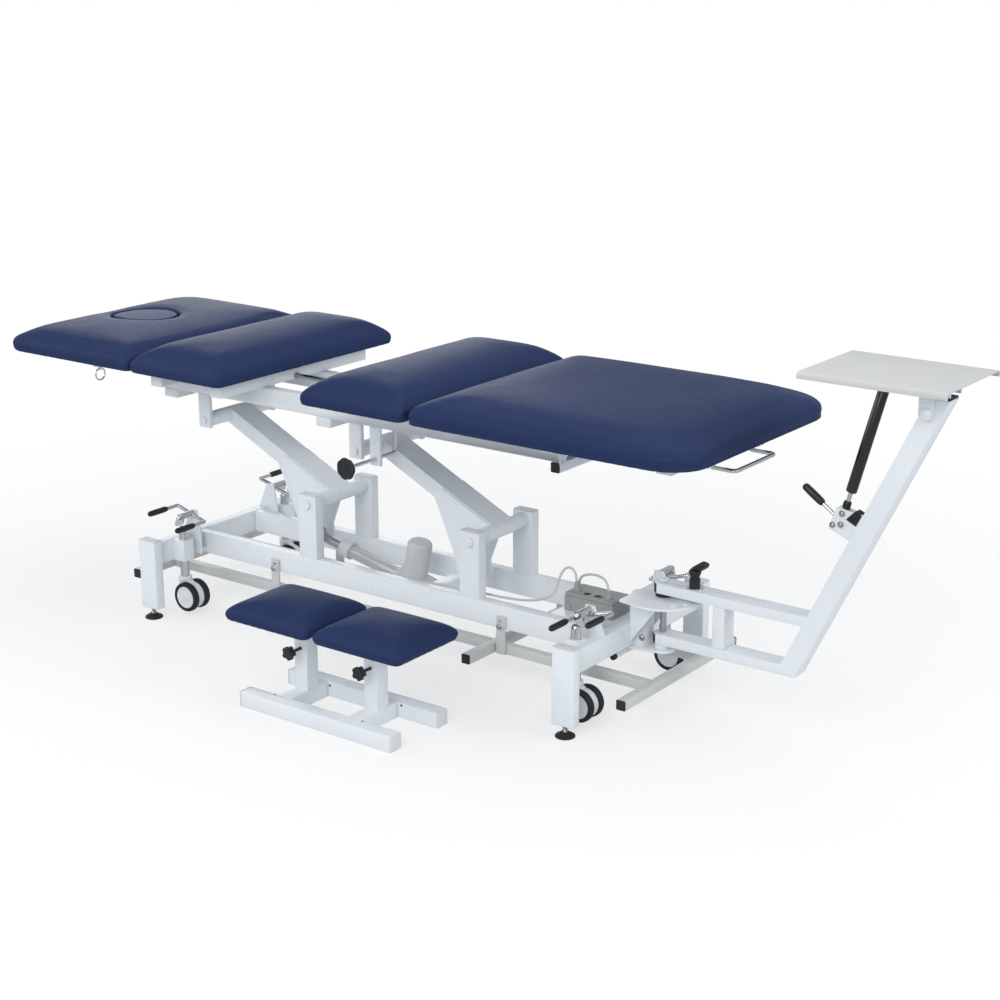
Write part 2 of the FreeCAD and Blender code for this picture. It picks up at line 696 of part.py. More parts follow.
def top_frame():
    parts = []
    for _, sy in SIDES:
        ys = span_y(TOP_Y0, TOP_Y0 + TOP_T, sy)
        parts.append(box(TOP_X0, TOP_X1, ys[0], ys[1], TOP_Z0, TOP_Z1))
    outer = TOP_Y0 + TOP_T
    for x0, x1 in TIES:
        parts.append(box(x0, x1, -outer, outer, TOP_Z0 - TIE_H, TOP_Z0))
    for x0, x1 in CHEST_BEAMS:
        parts.append(box(x0, x1, -CHEST_BEAM_Y, CHEST_BEAM_Y, TOP_Z1, SEAT_Z))
    for s in (-1, 1):
        ys = span_y(TILT_Y, TILT_Y + TILT_EAR_T, s)
        x1 = CHEST_BEAMS[0][0]
        ear = box(TILT_X, x1, ys[0], ys[1], TILT_Z - TILT_R, TILT_Z + TILT_R)
        knuckle = rod((TILT_X, ys[0], TILT_Z), (TILT_X, ys[1], TILT_Z), TILT_R)
        pin = rod((TILT_X, ys[0], TILT_Z), (TILT_X, s * (HEAD_BAR_Y + HEAD_BAR_W / 2), TILT_Z), TILT_PIN_R)
        if s < 0:
            pin = rod((TILT_X, ys[1], TILT_Z), (TILT_X, s * (HEAD_BAR_Y + HEAD_BAR_W / 2), TILT_Z), TILT_PIN_R)
        parts.append(join([ear, knuckle, pin]))
    return group(parts)


def arm_brackets():
    outer = TOP_Y0 + TOP_T
    parts = []
    for x in upright_x():
        px = x + ARM_DX
        pz = PIVOT_Z + ARM_DZ
        for _, sy in SIDES:
            ys = span_y(outer - BRACKET_T, outer, sy)
            top = TOP_Z0
            plate = box(px - BRACKET_W / 2, px + BRACKET_W / 2, ys[0], ys[1], pz - BRACKET_DROP, top)
            hole = rod((px, ys[0] - 1, pz), (px, ys[1] + 1, pz), UPPER_PIN_R + RUN_FIT)
            parts.append(plate.cut(hole))
    plate = box(LOCK_X - LOCK_PLATE_HALF, LOCK_X + LOCK_PLATE_HALF, -outer, -outer + 8, LOCK_Z - 18, TOP_Z0)
    hole = rod((LOCK_X, -outer - 1, LOCK_Z), (LOCK_X, -outer + 9, LOCK_Z), LOCK_R + RUN_FIT)
    parts.append(plate.cut(hole))
    pin_z = PIVOT_Z + ARM_DZ
    for x in upright_x():
        parts.append(headed_pin(x + ARM_DX, pin_z, UPPER_PIN_R, outer, BOLT_HEAD_R - 3, BOLT_HEAD_H))
    return group(parts)


def damper_rod():
    hook = CHEST_BEAMS[1][1]
    shaft = rod((hook, 0, DAMPER_Z), (DAMPER_ROD_X1, 0, DAMPER_Z), DAMPER_ROD_R)
    flange = rod((hook, 0, DAMPER_Z), (hook + 8, 0, DAMPER_Z), 9.0)
    stop_y = TOP_Y0 + TOP_T / 2
    stop = Part.makeCylinder(STOP_R, STOP_H, V(STOP_X, stop_y, TOP_Z1), CZ)
    return group([join([shaft, flange]), stop])


def lock_rod():
    points = [(LOCK_X, LOCK_Y0 + KNOB_T, LOCK_Z), (LOCK_X, LOCK_Y1, LOCK_Z), (LOCK_X, LOCK_Y1, LOCK_TOP)]
    return bent_rod(points, 12.0, LOCK_R)


def lock_knob():
    start = V(LOCK_X, LOCK_Y0, LOCK_Z)
    return lobed(KNOB_R, KNOB_LOBES, 7.0, start, CY, KNOB_T)


def head_shape():
    return cushion(HEAD_X, (-HALF_W, HALF_W), SEAT_Z, HEAD_ROWS, HEAD_END_R, CORNER_R)


def head_cushion():
    return head_shape().cut(oval(FACE_X, FACE_RX, FACE_RY, SEAT_Z - 1, SEAT_Z + FACE_CUT))


def face_plug():
    return head_shape().common(oval(FACE_X, FACE_RX - 0.5, FACE_RY - 0.5, SEAT_Z, SEAT_Z + FACE_CUT))


def head_frame():
    parts = []
    for s in (-1, 1):
        y0 = HEAD_BAR_Y - HEAD_BAR_W / 2
        ys = span_y(TILT_Y + TILT_EAR_T + SLIP, HEAD_BAR_Y + HEAD_BAR_W / 2, s)
        bar = box(HEAD_BAR_X0, HEAD_BAR_X1, ys[0], ys[1], HEAD_BAR_Z0, SEAT_Z)
        arm = box(HEAD_BAR_X1 - 1, TILT_X, ys[0], ys[1], TILT_Z - TILT_R, TILT_Z + TILT_R)
        eye = rod((TILT_X, ys[0], TILT_Z), (TILT_X, ys[1], TILT_Z), TILT_R)
        hole = rod((TILT_X, ys[0] - 1, TILT_Z), (TILT_X, ys[1] + 1, TILT_Z), TILT_PIN_R + RUN_FIT)
        parts.append(join([bar, arm, eye]).cut(hole))
    inner = TILT_Y + TILT_EAR_T + SLIP
    for x in (HEAD_BAR_X0, FACE_X + FACE_RX + 8):
        parts.append(box(x, x + 40, -inner, inner, HEAD_BAR_Z0, SEAT_Z))
    outer = HEAD_BAR_Y + HEAD_BAR_W / 2
    parts.append(box(RING_X - 12, RING_X + 12, -HALF_W + 16, -outer, SEAT_Z - 6, SEAT_Z))
    eye = Part.makeTorus(4.6, 1.6, V(RING_X, RING_Y, SEAT_Z - 6 - 4.8), CY)
    parts[-1] = join([parts[-1], eye])
    for x in (FACE_X - 12, FACE_X + 46):
        parts.append(box(x, x + 20, -inner, inner, SEAT_Z - 10, SEAT_Z - SLIP))
    return group(parts)


def pull_ring():
    return Part.makeTorus(RING_R, RING_WIRE_R, V(RING_X, RING_Y, RING_Z - 4.6), CX)


def carriage_frame():
    parts = []
    for _, sy in SIDES:
        ys = span_y(TOP_Y0, TOP_Y0 + TOP_T, sy)
        bar = box(SLIDE_X0, SLIDE_X1, ys[0], ys[1], SLIDE_Z0, SEAT_Z)
        pads = [box(x - GLIDE_L / 2, x + GLIDE_L / 2, ys[0] + 2, ys[1] - 2, TOP_Z1 + GLIDE_GAP, SLIDE_Z0)
                for x in GLIDES]
        parts.append(bar)
        parts.extend(pads)
    for x0, x1 in SLIDE_BARS:
        parts.append(box(x0, x1, -TOP_Y0, TOP_Y0, SLIDE_BAR_Z0, SEAT_Z))
        for _, sy in SIDES:
            ys = span_y(TOP_Y0 + TOP_T, SLIDE_BAR_Y, sy)
            parts.append(box(x0, x1, ys[0], ys[1], SLIDE_BAR_Z0, SEAT_Z))
    return group(parts)


def damper_cylinder():
    x0 = DAMPER_CYL_X0
    body = rod((x0, 0, DAMPER_Z), (DAMPER_CYL_X1, 0, DAMPER_Z), DAMPER_CYL_R)
    return body.cut(rod((x0 - 1, 0, DAMPER_Z), (DAMPER_CYL_X1 - 8, 0, DAMPER_Z), DAMPER_ROD_R + SLIP))


def pull_handle():
    x0 = sum(SLIDE_BARS[3]) / 2
    points = [(x0, -HANDLE_Y, SLIDE_BAR_Z0), (x0, -HANDLE_Y, HANDLE_Z), (HANDLE_X, -HANDLE_Y, HANDLE_Z),
              (HANDLE_X, HANDLE_Y, HANDLE_Z), (x0, HANDLE_Y, HANDLE_Z), (x0, HANDLE_Y, SLIDE_BAR_Z0)]
    return bent_rod(points, HANDLE_BEND, HANDLE_R)


def swing_frame():
    shift = POST_T * math.hypot(1.0, POST_IN_SLOPE)
    low_z = LOWER_BAR[0]
    corner = post_line(low_z) + shift
    top = PLAT_TOP - POST_TOP_DROP
    post = prism_xz([POST_IN_BOTTOM, (corner, low_z), (post_line(top) + shift, top), (post_line(top), top)],
                    -ARM_HALF, ARM_HALF)
    hinge = rod((HINGE_X, -ARM_HALF - 1, HINGE_Z), (HINGE_X, ARM_HALF + 1, HINGE_Z), HINGE_R)
    post = post.cut(hinge)
    bars = []
    for (z0, z1), far in ((UPPER_BAR, None), (LOWER_BAR, corner)):
        right = [(post_line(z0), z0), (post_line(z1), z1)]
        if far:
            right = [(far, z0), POST_IN_BOTTOM]
        bar = prism_xz([(BAR_X0, z0)] + right + [(BAR_X0, z1)], -ARM_HALF, ARM_HALF)
        for s in (-1, 1):
            nose = [(BAR_X0, s * ARM_HALF), (BAR_X0 + BAR_NOSE, s * ARM_HALF), (BAR_X0, s * (ARM_HALF - BAR_NOSE))]
            bar = bar.cut(prism_xy(nose, z0, z1))
        bar = bar.cut(Part.makeCylinder(SWING_PIN_R + RUN_FIT, 3 * (z1 - z0), V(SWING_X, 0, 2 * z0 - z1), CZ))
        if not far:
            bar = bar.cut(Part.makeCylinder(PLUNGER_R + RUN_FIT, 3 * (z1 - z0), V(INDEX_X, 0, 2 * z0 - z1), CZ))
        bars.append(bar)
    tie = box(TIE_X[0], TIE_X[1], -ARM_HALF, ARM_HALF, LOWER_BAR[1], UPPER_BAR[0])
    return group([post, tie] + bars)


def swing_fittings():
    housing = Part.makeCylinder(HOUSING_R, HOUSING_H, V(INDEX_X, 0, UPPER_BAR[1]), CZ)
    washer = Part.makeCylinder(HOUSING_R * 1.6, 3.0, V(INDEX_X, 0, UPPER_BAR[1]), CZ)
    bore = Part.makeCylinder(PLUNGER_R + RUN_FIT, 3 * HOUSING_H, V(INDEX_X, 0, UPPER_BAR[1] - HOUSING_H), CZ)
    parts = [join([housing, washer]).cut(bore)]
    for s in (-1, 1):
        ys = span_y(GAS_LUG_Y, GAS_LUG_Y + 5, s)
        z0 = LEVER_Z - 14
        z1 = GAS_LOW_Z + 12
        edge = GAS_LOW_X - GAS_LUG_EDGE
        plate = prism_xz([(edge, z0), (post_line(z0), z0), (post_line(z1), z1), (edge, z1)], ys[0], ys[1])
        parts.append(plate)
    low = headed_pin(GAS_LOW_X, GAS_LOW_Z, GAS_PIN_R, GAS_LUG_Y + 5, 7.0, 3.0)
    lever = headed_pin(LEVER_X, LEVER_Z, GAS_PIN_R, GAS_LUG_Y + 5, 7.0, 3.0)
    parts = [parts[0], join([parts[1], parts[2], low, lever])]
    parts.append(headed_pin(HINGE_X, HINGE_Z, HINGE_R, ARM_HALF + TAB_T + 0.6, 9.0, 5.0))
    return group(parts)


def index_plunger():
    pin = Part.makeCylinder(PLUNGER_R, PLUNGER_TOP - 8 - D_Z1, V(INDEX_X, 0, D_Z1 + SLIP), CZ)
    base = UPPER_BAR[1] + HOUSING_H + SLIP
    knob = Part.makeCone(11.0, 15.0, PLUNGER_TOP - base, V(INDEX_X, 0, base), CZ)
    tilt = V(math.cos(math.radians(35)), 0, math.sin(math.radians(35)))
    grip = Part.makeCylinder(8.0, PLUNGER_GRIP, V(INDEX_X - 8, 0, PLUNGER_TOP - 4), tilt)
    return join([pin, knob, grip])


def platform():
    lip = PLAT_TOP - PLAT_LIP
    tray = box(PLAT_X0, PLAT_X1, -PLAT_HALF, PLAT_HALF, lip, PLAT_TOP)
    tray = tray.cut(box(PLAT_X0 + PLAT_T, PLAT_X1 - PLAT_T, -PLAT_HALF + PLAT_T, PLAT_HALF - PLAT_T,
                        lip - 1, PLAT_TOP - PLAT_T))
    under = PLAT_TOP - PLAT_T
    tabs = []
    for s in (-1, 1):
        ys = span_y(ARM_HALF + SLIP, ARM_HALF + SLIP + TAB_T, s)
        outline = [(HINGE_X - TAB_HALF - 20, under), (HINGE_X - TAB_HALF, HINGE_Z - 8), (HINGE_X - 10, HINGE_Z - 16),
                   (HINGE_X + 10, HINGE_Z - 16), (HINGE_X + TAB_HALF, HINGE_Z - 8), (HINGE_X + TAB_HALF + 20, under)]
        tabs.append(prism_xz(outline, ys[0], ys[1]))
        ys = span_y(GAS_LUG_Y + 0.3, GAS_LUG_Y + 5.3, s)
        tabs.append(box(GAS_UP_X - 14, GAS_UP_X + 14, ys[0], ys[1], GAS_UP_Z - 10, under))
    edge = GAS_LUG_Y + 5.3
    pin = rod((GAS_UP_X, -edge, GAS_UP_Z), (GAS_UP_X, edge, GAS_UP_Z), GAS_PIN_R)
    hole = rod((HINGE_X, -60, HINGE_Z), (HINGE_X, 60, HINGE_Z), HINGE_R + RUN_FIT)
    return join([tray, pin] + tabs).cut(hole)


def gas_axis():
    start = V(GAS_LOW_X, 0, GAS_LOW_Z)
    along = V(GAS_UP_X, 0, GAS_UP_Z) - start
    length = along.Length
    return start, along.normalize(), length


def gas_rod():
    start, u, _ = gas_axis()
    shaft = Part.makeCylinder(GAS_ROD_R, GAS_ROD_END, start, u)
    eye = rod((start.x, -GAS_LUG_Y + SLIP, start.z), (start.x, GAS_LUG_Y - SLIP, start.z), GAS_EYE_R)
    hole = rod((start.x, -20, start.z), (start.x, 20, start.z), GAS_PIN_R + RUN_FIT)
    return join([shaft, eye]).cut(hole)


def gas_body():
    start, u, length = gas_axis()
    body = Part.makeCylinder(GAS_BODY_R, GAS_BODY_S1 - GAS_BODY_S0, start + u * GAS_BODY_S0, u)
    neck = Part.makeCylinder(GAS_LUG_Y - SLIP, length - GAS_BODY_S1, start + u * GAS_BODY_S1, u)
    end = start + u * length
    eye = rod((end.x, -GAS_LUG_Y + SLIP, end.z), (end.x, GAS_LUG_Y - SLIP, end.z), GAS_EYE_R)
    bore = Part.makeCylinder(GAS_ROD_R + SLIP, GAS_BODY_S1 - GAS_BODY_S0 - 12, start + u * GAS_BODY_S0, u)
    play = rod((end.x, -20, end.z), (end.x, 20, end.z), GAS_PIN_R + GAS_PLAY)
    return join([body, neck, eye]).cut([bore, play])


def release_lever():
    hub = rod((LEVER_X, -GAS_LUG_Y + SLIP, LEVER_Z), (LEVER_X, GAS_LUG_Y - SLIP, LEVER_Z), 9.0)
    shaft = rod((LEVER_X, 0, LEVER_Z), (LEVER_TIP_X, 0, LEVER_TIP_Z), LEVER_R)
    mid = [a + (b - a) * LEVER_GRIP for a, b in ((LEVER_X, LEVER_TIP_X), (LEVER_Z, LEVER_TIP_Z))]
    grip = rod((mid[0], 0, mid[1]), (LEVER_TIP_X, 0, LEVER_TIP_Z), LEVER_GRIP_R)
    hole = rod((LEVER_X, -20, LEVER_Z), (LEVER_X, 20, LEVER_Z), GAS_PIN_R + RUN_FIT)
    return join([hub, shaft, grip]).cut(hole)


def foot_bars():
    h = BAR_W / 2
    parts = []
    for x, half in BAR_CROSS:
        parts.append(box(x - h, x + h, -half, half, BAR_Z - h, BAR_Z + h))
    xs = [x for x, _ in BAR_CROSS]
    for _, sy in SIDES:
        for x0, x1 in zip(xs, xs[1:]):
            parts.append(box(x0 + h, x1 - h, sy * BAR_Y - h, sy * BAR_Y + h, BAR_Z - h, BAR_Z + h))
        face = BAR_Y + h
        ys = span_y(face, face + HANGER_T, sy)
        for _, sx in ENDS:
            x = sx * HANGER_X
            plate = box(x - 14, x + 14, ys[0], ys[1], BAR_Z - h, HANGER_TOP)
            r = HANGER_BOLT_R + SLIP
            slot = box(x - r, x + r, ys[0] - 1, ys[1] + 1, HANGER_BOLT_Z - r, HANGER_BOLT_Z + r + HANGER_PLAY)
            parts.append(plate.cut(slot))
    return group(parts)


def stool_base():
    h = ST_TUBE / 2
    parts = [box(ST_X[0], ST_X[1], y - h, y + h, 0, ST_TUBE) for y in (ST_FRONT_Y, ST_BACK_Y)]
    for x in ST_POST_X:
        parts.append(box(x - h, x + h, ST_FRONT_Y + h, ST_BACK_Y - h, 0, ST_TUBE))
        sleeve = block(x, ST_POST_Y, ST_TUBE, ST_SLEEVE_TOP, ST_TUBE, ST_TUBE)
        bore = block(x, ST_POST_Y, ST_TUBE, ST_SLEEVE_TOP + 1, ST_POST_W + 2 * SLIP, ST_POST_W + 2 * SLIP)
        screw = rod((x, ST_POST_Y - h - 1, ST_KNOB_Z), (x, ST_POST_Y, ST_KNOB_Z), ST_SCREW_R + RUN_FIT)
        parts.append(sleeve.cut([bore, screw]))
    return group(parts)


def seat_post(x):
    post = block(x, ST_POST_Y, ST_POST_Z0, ST_SEAT_Z - ST_PLATE, ST_POST_W, ST_POST_W)
    plate = block(x, ST_POST_Y, ST_SEAT_Z - ST_PLATE, ST_SEAT_Z, ST_PLATE_W, ST_PLATE_W)
    return join([post, plate])


def stool_seat(xs):
    return cushion(xs, ST_SEAT_Y, ST_SEAT_Z, STOOL_ROWS, 30.0, 30.0)


def stool_knob(x):
    face = ST_POST_Y - ST_TUBE / 2
    star = lobed(ST_KNOB_R, 5, 4.0, V(x, face - SLIP - ST_KNOB_OUT - ST_KNOB_T, ST_KNOB_Z), CY, ST_KNOB_T)
    screw = rod((x, face - SLIP - ST_KNOB_OUT - 1, ST_KNOB_Z), (x, face + (ST_TUBE - ST_POST_W) / 2 - SLIP, ST_KNOB_Z), ST_SCREW_R)
    return join([star, screw])


def stem(sx, sy):
    at = V(sx * CASTER_X, sy * CASTER_Y, STEM_BOTTOM)
    body = Part.makeCylinder(STEM_R, STEM_TOP - STEM_R - STEM_BOTTOM, at, CZ)
    dome = Part.makeSphere(STEM_R, V(at.x, at.y, STEM_TOP - STEM_R), CZ, 0, 90, 360)
    return join([body, dome])


def yoke(sx, sy):
    x = sx * CASTER_X
    y = sy * CASTER_Y
    neck = Part.makeCylinder(NECK_R, STEM_BOTTOM - SLIP - NECK_BOTTOM, V(x, y, NECK_BOTTOM), CZ)
    outline = [(-16, NECK_BOTTOM + 1), (16, NECK_BOTTOM + 1), (44, 75), (30, WHEEL_Z), (0, WHEEL_Z), (-16, 80)]
    link = prism_xz([(x + px, pz) for px, pz in outline], y - YOKE_HALF, y + YOKE_HALF)
    hub = rod((x + TRAIL, y - YOKE_HALF, WHEEL_Z), (x + TRAIL, y + YOKE_HALF, WHEEL_Z), YOKE_R)
    reach = YOKE_HALF + WHEEL_GAP + WHEEL_T
    axle = rod((x + TRAIL, y - reach, WHEEL_Z), (x + TRAIL, y + reach, WHEEL_Z), AXLE_R)
    return join([neck, link, hub, axle])


def wheels(sx, sy):
    x = sx * CASTER_X + TRAIL
    y = sy * CASTER_Y
    pair = []
    for s in (-1, 1):
        ys = span_y(YOKE_HALF + WHEEL_GAP, YOKE_HALF + WHEEL_GAP + WHEEL_T, s)
        wheel = rod((x, y + ys[0], WHEEL_Z), (x, y + ys[1], WHEEL_Z), WHEEL_R)
        wheel = wheel.makeFillet(5.0, [e for e in wheel.Edges if e.Closed])
        pair.append(wheel.cut(rod((x, y - 60, WHEEL_Z), (x, y + 60, WHEEL_Z), AXLE_R + RUN_FIT)))
    return group(pair)


def rocker(sx, sy):
    """Two-ended pedal: chrome rod, two side grips and the cam that pushes the stem down."""
    tilt = math.radians(PEDAL_TILT)
    px = sx * PEDAL_X
    du = PEDAL_HALF * math.cos(tilt)
    dz = PEDAL_HALF * math.sin(tilt)
    shift_x, shift_z = PEDAL_SHIFT[sx]
    inner = (px + shift_x - sx * du, PEDAL_Z + shift_z - dz)
    outer = (px + shift_x + sx * du, PEDAL_Z + shift_z + dz)
    y = sy * PEDAL_Y
    points = [(inner[0], sy * GRIP_Y1, inner[1]), (inner[0], y, inner[1]), (outer[0], y, outer[1]),
              (outer[0], sy * GRIP_Y1, outer[1])]
    bar = bent_rod(points, 9.0, PEDAL_ROD_R)
    y0 = CASTER_Y - SLEEVE_W / 2 - PEDAL_EAR_IN + SLIP
    hub = rod((px, sy * y0, PEDAL_Z), (px, sy * (CASTER_Y + CAM_T - 4), PEDAL_Z), HUB_R)
    cam = []
    for i in range(5):
        a = math.radians(-90 + PEDAL_TRAVEL * i / 4)
        r = CAM_R0 + CAM_GROW * i / 4
        cam.append((px + sx * r * math.cos(a), PEDAL_Z + r * math.sin(a)))
    for deg, r in ((-50, 34.0), (-20, 14.0), (60, 9.0), (150, 9.0), (-140, 12.0), (-110, 20.0)):
        a = math.radians(deg)
        cam.append((px + sx * r * math.cos(a), PEDAL_Z + r * math.sin(a)))
    ys = span_y(CASTER_Y - 4, CASTER_Y - 4 + CAM_T, sy)
    lobe = prism_xz(cam, ys[0], ys[1])
    ends = (sy * (CASTER_Y - 2 * SLEEVE_W), sy * (CASTER_Y + 2 * SLEEVE_W))
    bore = rod((px, ends[0], PEDAL_Z), (px, ends[1], PEDAL_Z), PEDAL_PIN_R + RUN_FIT)
    grips = [rod((p[0], sy * GRIP_Y0, p[1]), (p[0], sy * GRIP_Y1, p[1]), GRIP_R) for p in (inner, outer)]
    return join([bar, hub, lobe] + grips).cut(bore)


def build():
    foot_x = PIVOT_HEAD_X + PIVOT_SPACING
    width = (-HALF_W, HALF_W)
    parts = {
        "legs": legs(),
        "levelling_feet": levelling_feet(),
        "base_rails": base_rails(),
        "uprights": uprights(),
        "pivot_pins": pivot_pins(),
        "base_brackets": base_brackets(),
        "control_box": control_box(),
        "control_leads": control_leads(),
        "caster_mounts": caster_sleeves(),
        "turret": turret(),
        "head_lift_arm": lift_arm(PIVOT_HEAD_X),
        "foot_lift_arm": lift_arm(foot_x),
        "actuator_body": actuator_body(),
        "actuator_rod": actuator_rod(),
        "top_frame": top_frame(),
        "arm_brackets": arm_brackets(),
        "damper_rod": damper_rod(),
        "chest_cushion": cushion(CHEST_X, width, SEAT_Z, FULL_ROWS, CORNER_R, CORNER_R),
        "lock_rod": lock_rod(),
        "lock_knob": lock_knob(),
        "head_frame": head_frame(),
        "head_cushion": head_cushion(),
        "face_plug": face_plug(),
        "pull_ring": pull_ring(),
        "carriage_frame": carriage_frame(),
        "pelvis_cushion": cushion(PELVIS_X, width, SEAT_Z, FULL_ROWS, CORNER_R, CORNER_R),
        "leg_cushion": cushion(LEG_X_SPAN, width, SEAT_Z, LEG_ROWS, CORNER_R, LEG_END_R),
        "damper_cylinder": damper_cylinder(),
        "pull_handle": pull_handle(),
        "swing_frame": swing_frame(),
        "swing_fittings": swing_fittings(),
        "index_plunger": index_plunger(),
        "platform": platform(),
        "gas_rod": gas_rod(),
        "gas_body": gas_body(),
        "release_lever": release_lever(),
        "foot_bars": foot_bars(),
        "stool_base": stool_base(),
    }
    for name, x, xs in zip(("left", "right"), ST_POST_X, ST_SEAT_X):
        parts["seat_post_" + name] = seat_post(x)
        parts["stool_seat_" + name] = stool_seat(xs)
        parts["stool_knob_" + name] = stool_knob(x)
    for end, sx in ENDS:
        for side, sy in SIDES:
            tag = "_" + end + "_" + side
            parts["caster_stem" + tag] = stem(sx, sy)
            parts["caster_yoke" + tag] = yoke(sx, sy)
            parts["caster_wheels" + tag] = wheels(sx, sy)
            parts["pedal" + tag] = rocker(sx, sy)
    return parts


os.makedirs("parts", exist_ok=True)
for node, shape in build().items():
    shape.exportStep("parts/" + node + ".step")
    print(node, len(shape.Solids), "valid" if shape.isValid() else "INVALID", round(shape.Volume / 1000.0, 1), "cm3")
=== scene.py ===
"""Electric traction table: the finished look of every piece, set in the CAD frame."""

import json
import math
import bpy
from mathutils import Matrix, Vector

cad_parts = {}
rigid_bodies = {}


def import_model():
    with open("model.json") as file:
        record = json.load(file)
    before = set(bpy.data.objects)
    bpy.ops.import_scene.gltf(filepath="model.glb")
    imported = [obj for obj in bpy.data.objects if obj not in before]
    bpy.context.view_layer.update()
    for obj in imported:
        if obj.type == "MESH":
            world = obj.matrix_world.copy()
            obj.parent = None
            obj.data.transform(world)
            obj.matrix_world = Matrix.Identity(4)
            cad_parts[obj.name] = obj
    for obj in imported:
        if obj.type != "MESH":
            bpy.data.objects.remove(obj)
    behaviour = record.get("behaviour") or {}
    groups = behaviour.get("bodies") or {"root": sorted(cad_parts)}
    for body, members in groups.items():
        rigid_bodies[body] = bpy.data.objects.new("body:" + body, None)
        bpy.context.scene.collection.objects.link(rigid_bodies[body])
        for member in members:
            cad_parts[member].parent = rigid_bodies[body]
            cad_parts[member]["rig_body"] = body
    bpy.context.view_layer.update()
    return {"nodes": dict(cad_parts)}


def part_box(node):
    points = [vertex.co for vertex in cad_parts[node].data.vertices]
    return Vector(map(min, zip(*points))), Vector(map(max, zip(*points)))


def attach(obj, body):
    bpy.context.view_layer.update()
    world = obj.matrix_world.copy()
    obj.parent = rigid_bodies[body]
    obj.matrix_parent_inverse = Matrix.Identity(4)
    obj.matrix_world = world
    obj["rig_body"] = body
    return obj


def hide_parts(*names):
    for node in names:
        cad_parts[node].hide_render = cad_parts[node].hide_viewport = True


bl_info = {
    "name": "Electric traction table",
    "version": (1, 0, 0),
    "blender": (4, 5, 0),
    "location": "View3D > Sidebar > Traction table",
    "description": "Builds the visible pieces of an electric traction table over its CAD frame",
    "category": "Object",
}

import bmesh
import bpy
import numpy as np
from mathutils import Vector

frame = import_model()
NODES = frame["nodes"]

TAGS = (("head_front", -1, -1), ("head_back", -1, 1), ("foot_front", 1, -1), ("foot_back", 1, 1))
SIDES = (-1, 1)
X, Y, Z = Vector((1, 0, 0)), Vector((0, 1, 0)), Vector((0, 0, 1))
ORIGIN = Vector((0, 0, 0))
SHARP = math.radians(38)


def mm(*values):
    return Vector(values) / 1000.0


# Places in the CAD: (x, y) of the legs in mm, the swing pin, the plunger and the pivots of the arm.
LEG = (683, 297)
SWING, PLUNGER = mm(764, 0, 0), mm(848, 0, 0)
HINGE, LEVER = mm(1412, 0, 833), mm(1222, 0, 549)
GAS_LOW, GAS_UP = mm(1224, 0, 575), mm(1306, 0, 886)

# Pad sections: rows of (height over the board, inset from the widest outline) up to the widest line, then the crown's
# rise, reach inwards and roundness, in mm.
FULL_PAD = (((0, 6), (11, 1.5), (23, 0)), 63, 161, 0.525)
HEAD_PAD = (((0, 6), (11, 1.5), (22, 0)), 51, 215, 0.35)
LEG_PAD = (((0, 6), (11, 1.5), (22, 0)), 59, 205, 0.35)
STOOL_PAD = (((0, 7), (8, 2.4), (16, 0)), 42, 116, 0.49)
CROWN_ROWS, SIDE_STEPS = 45, 24
FILL, EVEN_ROUNDS = 0.85, 40

# Face hole: x of its middle and its two half widths, in metres.
FACE = (-0.971, 0.102, 0.084)

# Foam and vinyl of the pads.
CLOTH = dict(quality=4, mass=0.25, tension_stiffness=22, compression_stiffness=22, shear_stiffness=8,
             bending_stiffness=1.5, vertex_group_mass="board", use_pressure=True)

# Finish: record slot, colour, roughness from and to, and what differs from the common surface.
FINISHES = {
    "powder_coat": ("white_coat", "frame", (0.26, 0.36), dict(tint=0.025, grain=700, relief=0.05, coat=0.35)),
    "tray_coat": ("white_coat", "tray", (0.36, 0.48), dict(tint=0.025, grain=700, relief=0.05, coat=0.1)),
    "silver_coat": ("white_coat", "silver", (0.32, 0.44), dict(tint=0.03, grain=700, relief=0.05, coat=0.2)),
    "cap_plastic": ("grey_plastic", "cap", (0.38, 0.5), dict(tint=0.03, grain=1500, relief=0.03)),
    "navy_vinyl": ("navy_vinyl", "vinyl", (0.39, 0.44),
                   dict(tint=0.035, broad=7, grain=1100, relief=0.12, cells=True, specular=0.05)),
    "black_plastic": ("black_plastic", "black", (0.38, 0.52), dict(tint=0.2, grain=1400, relief=0.06)),
    "black_rubber": ("black_rubber", "black", (0.6, 0.75), dict(tint=0.25, relief=0.1)),
    "black_enamel": ("black_enamel", "black", (0.16, 0.26), dict(tint=0.2, grain=300, relief=0.02, coat=0.3)),
    "grey_plastic": ("grey_plastic", "grey", (0.42, 0.55), dict(tint=0.04, grain=1600, relief=0.05)),
    "motor_plastic": ("grey_plastic", "motor", (0.40, 0.52), dict(tint=0.03, grain=1500)),
    "wheel_plastic": ("grey_plastic", "wheel", (0.3, 0.42), dict(tint=0.04, grain=1200, relief=0.03)),
    "chrome": ("chrome", "chrome", (0.07, 0.16), dict(metallic=1.0, tint=0.03, grain=500, relief=0.01)),
    "steel": ("steel", "steel", (0.24, 0.38),
              dict(metallic=1.0, tint=0.06, grain=400, relief=0.03, stretch=(1, 1, 14))),
    "tube_metal": ("steel", "tube", (0.34, 0.46), dict(metallic=0.85, tint=0.04, grain=600, relief=0.02)),
    # Painted shade: a near-black finish for the discs that stand for the shade inside holes and sockets.
    "dark_bore": ("black_plastic", "bore", (0.7, 0.85), dict(tint=0.2)),
}

# Lamp: place, aim, power and size.
LAMPS = {
    "key": ((1.4, -4.8, 3.2), (0, 0, 0.4), 122, 3.2),
    "fill": ((-4.2, -2.6, 3.0), (0, 0, 0.5), 56, 3.0),
    "side": ((4.8, 0.6, 2.6), (0.6, 0, 0.4), 78, 2.6),
    "top": ((0.2, 1.2, 5.0), (0, 0, 0.6), 42, 4.0),
    "back": ((-4.6, 4.4, 2.3), (-0.5, 0, 0.7), 40, 3.0),
}

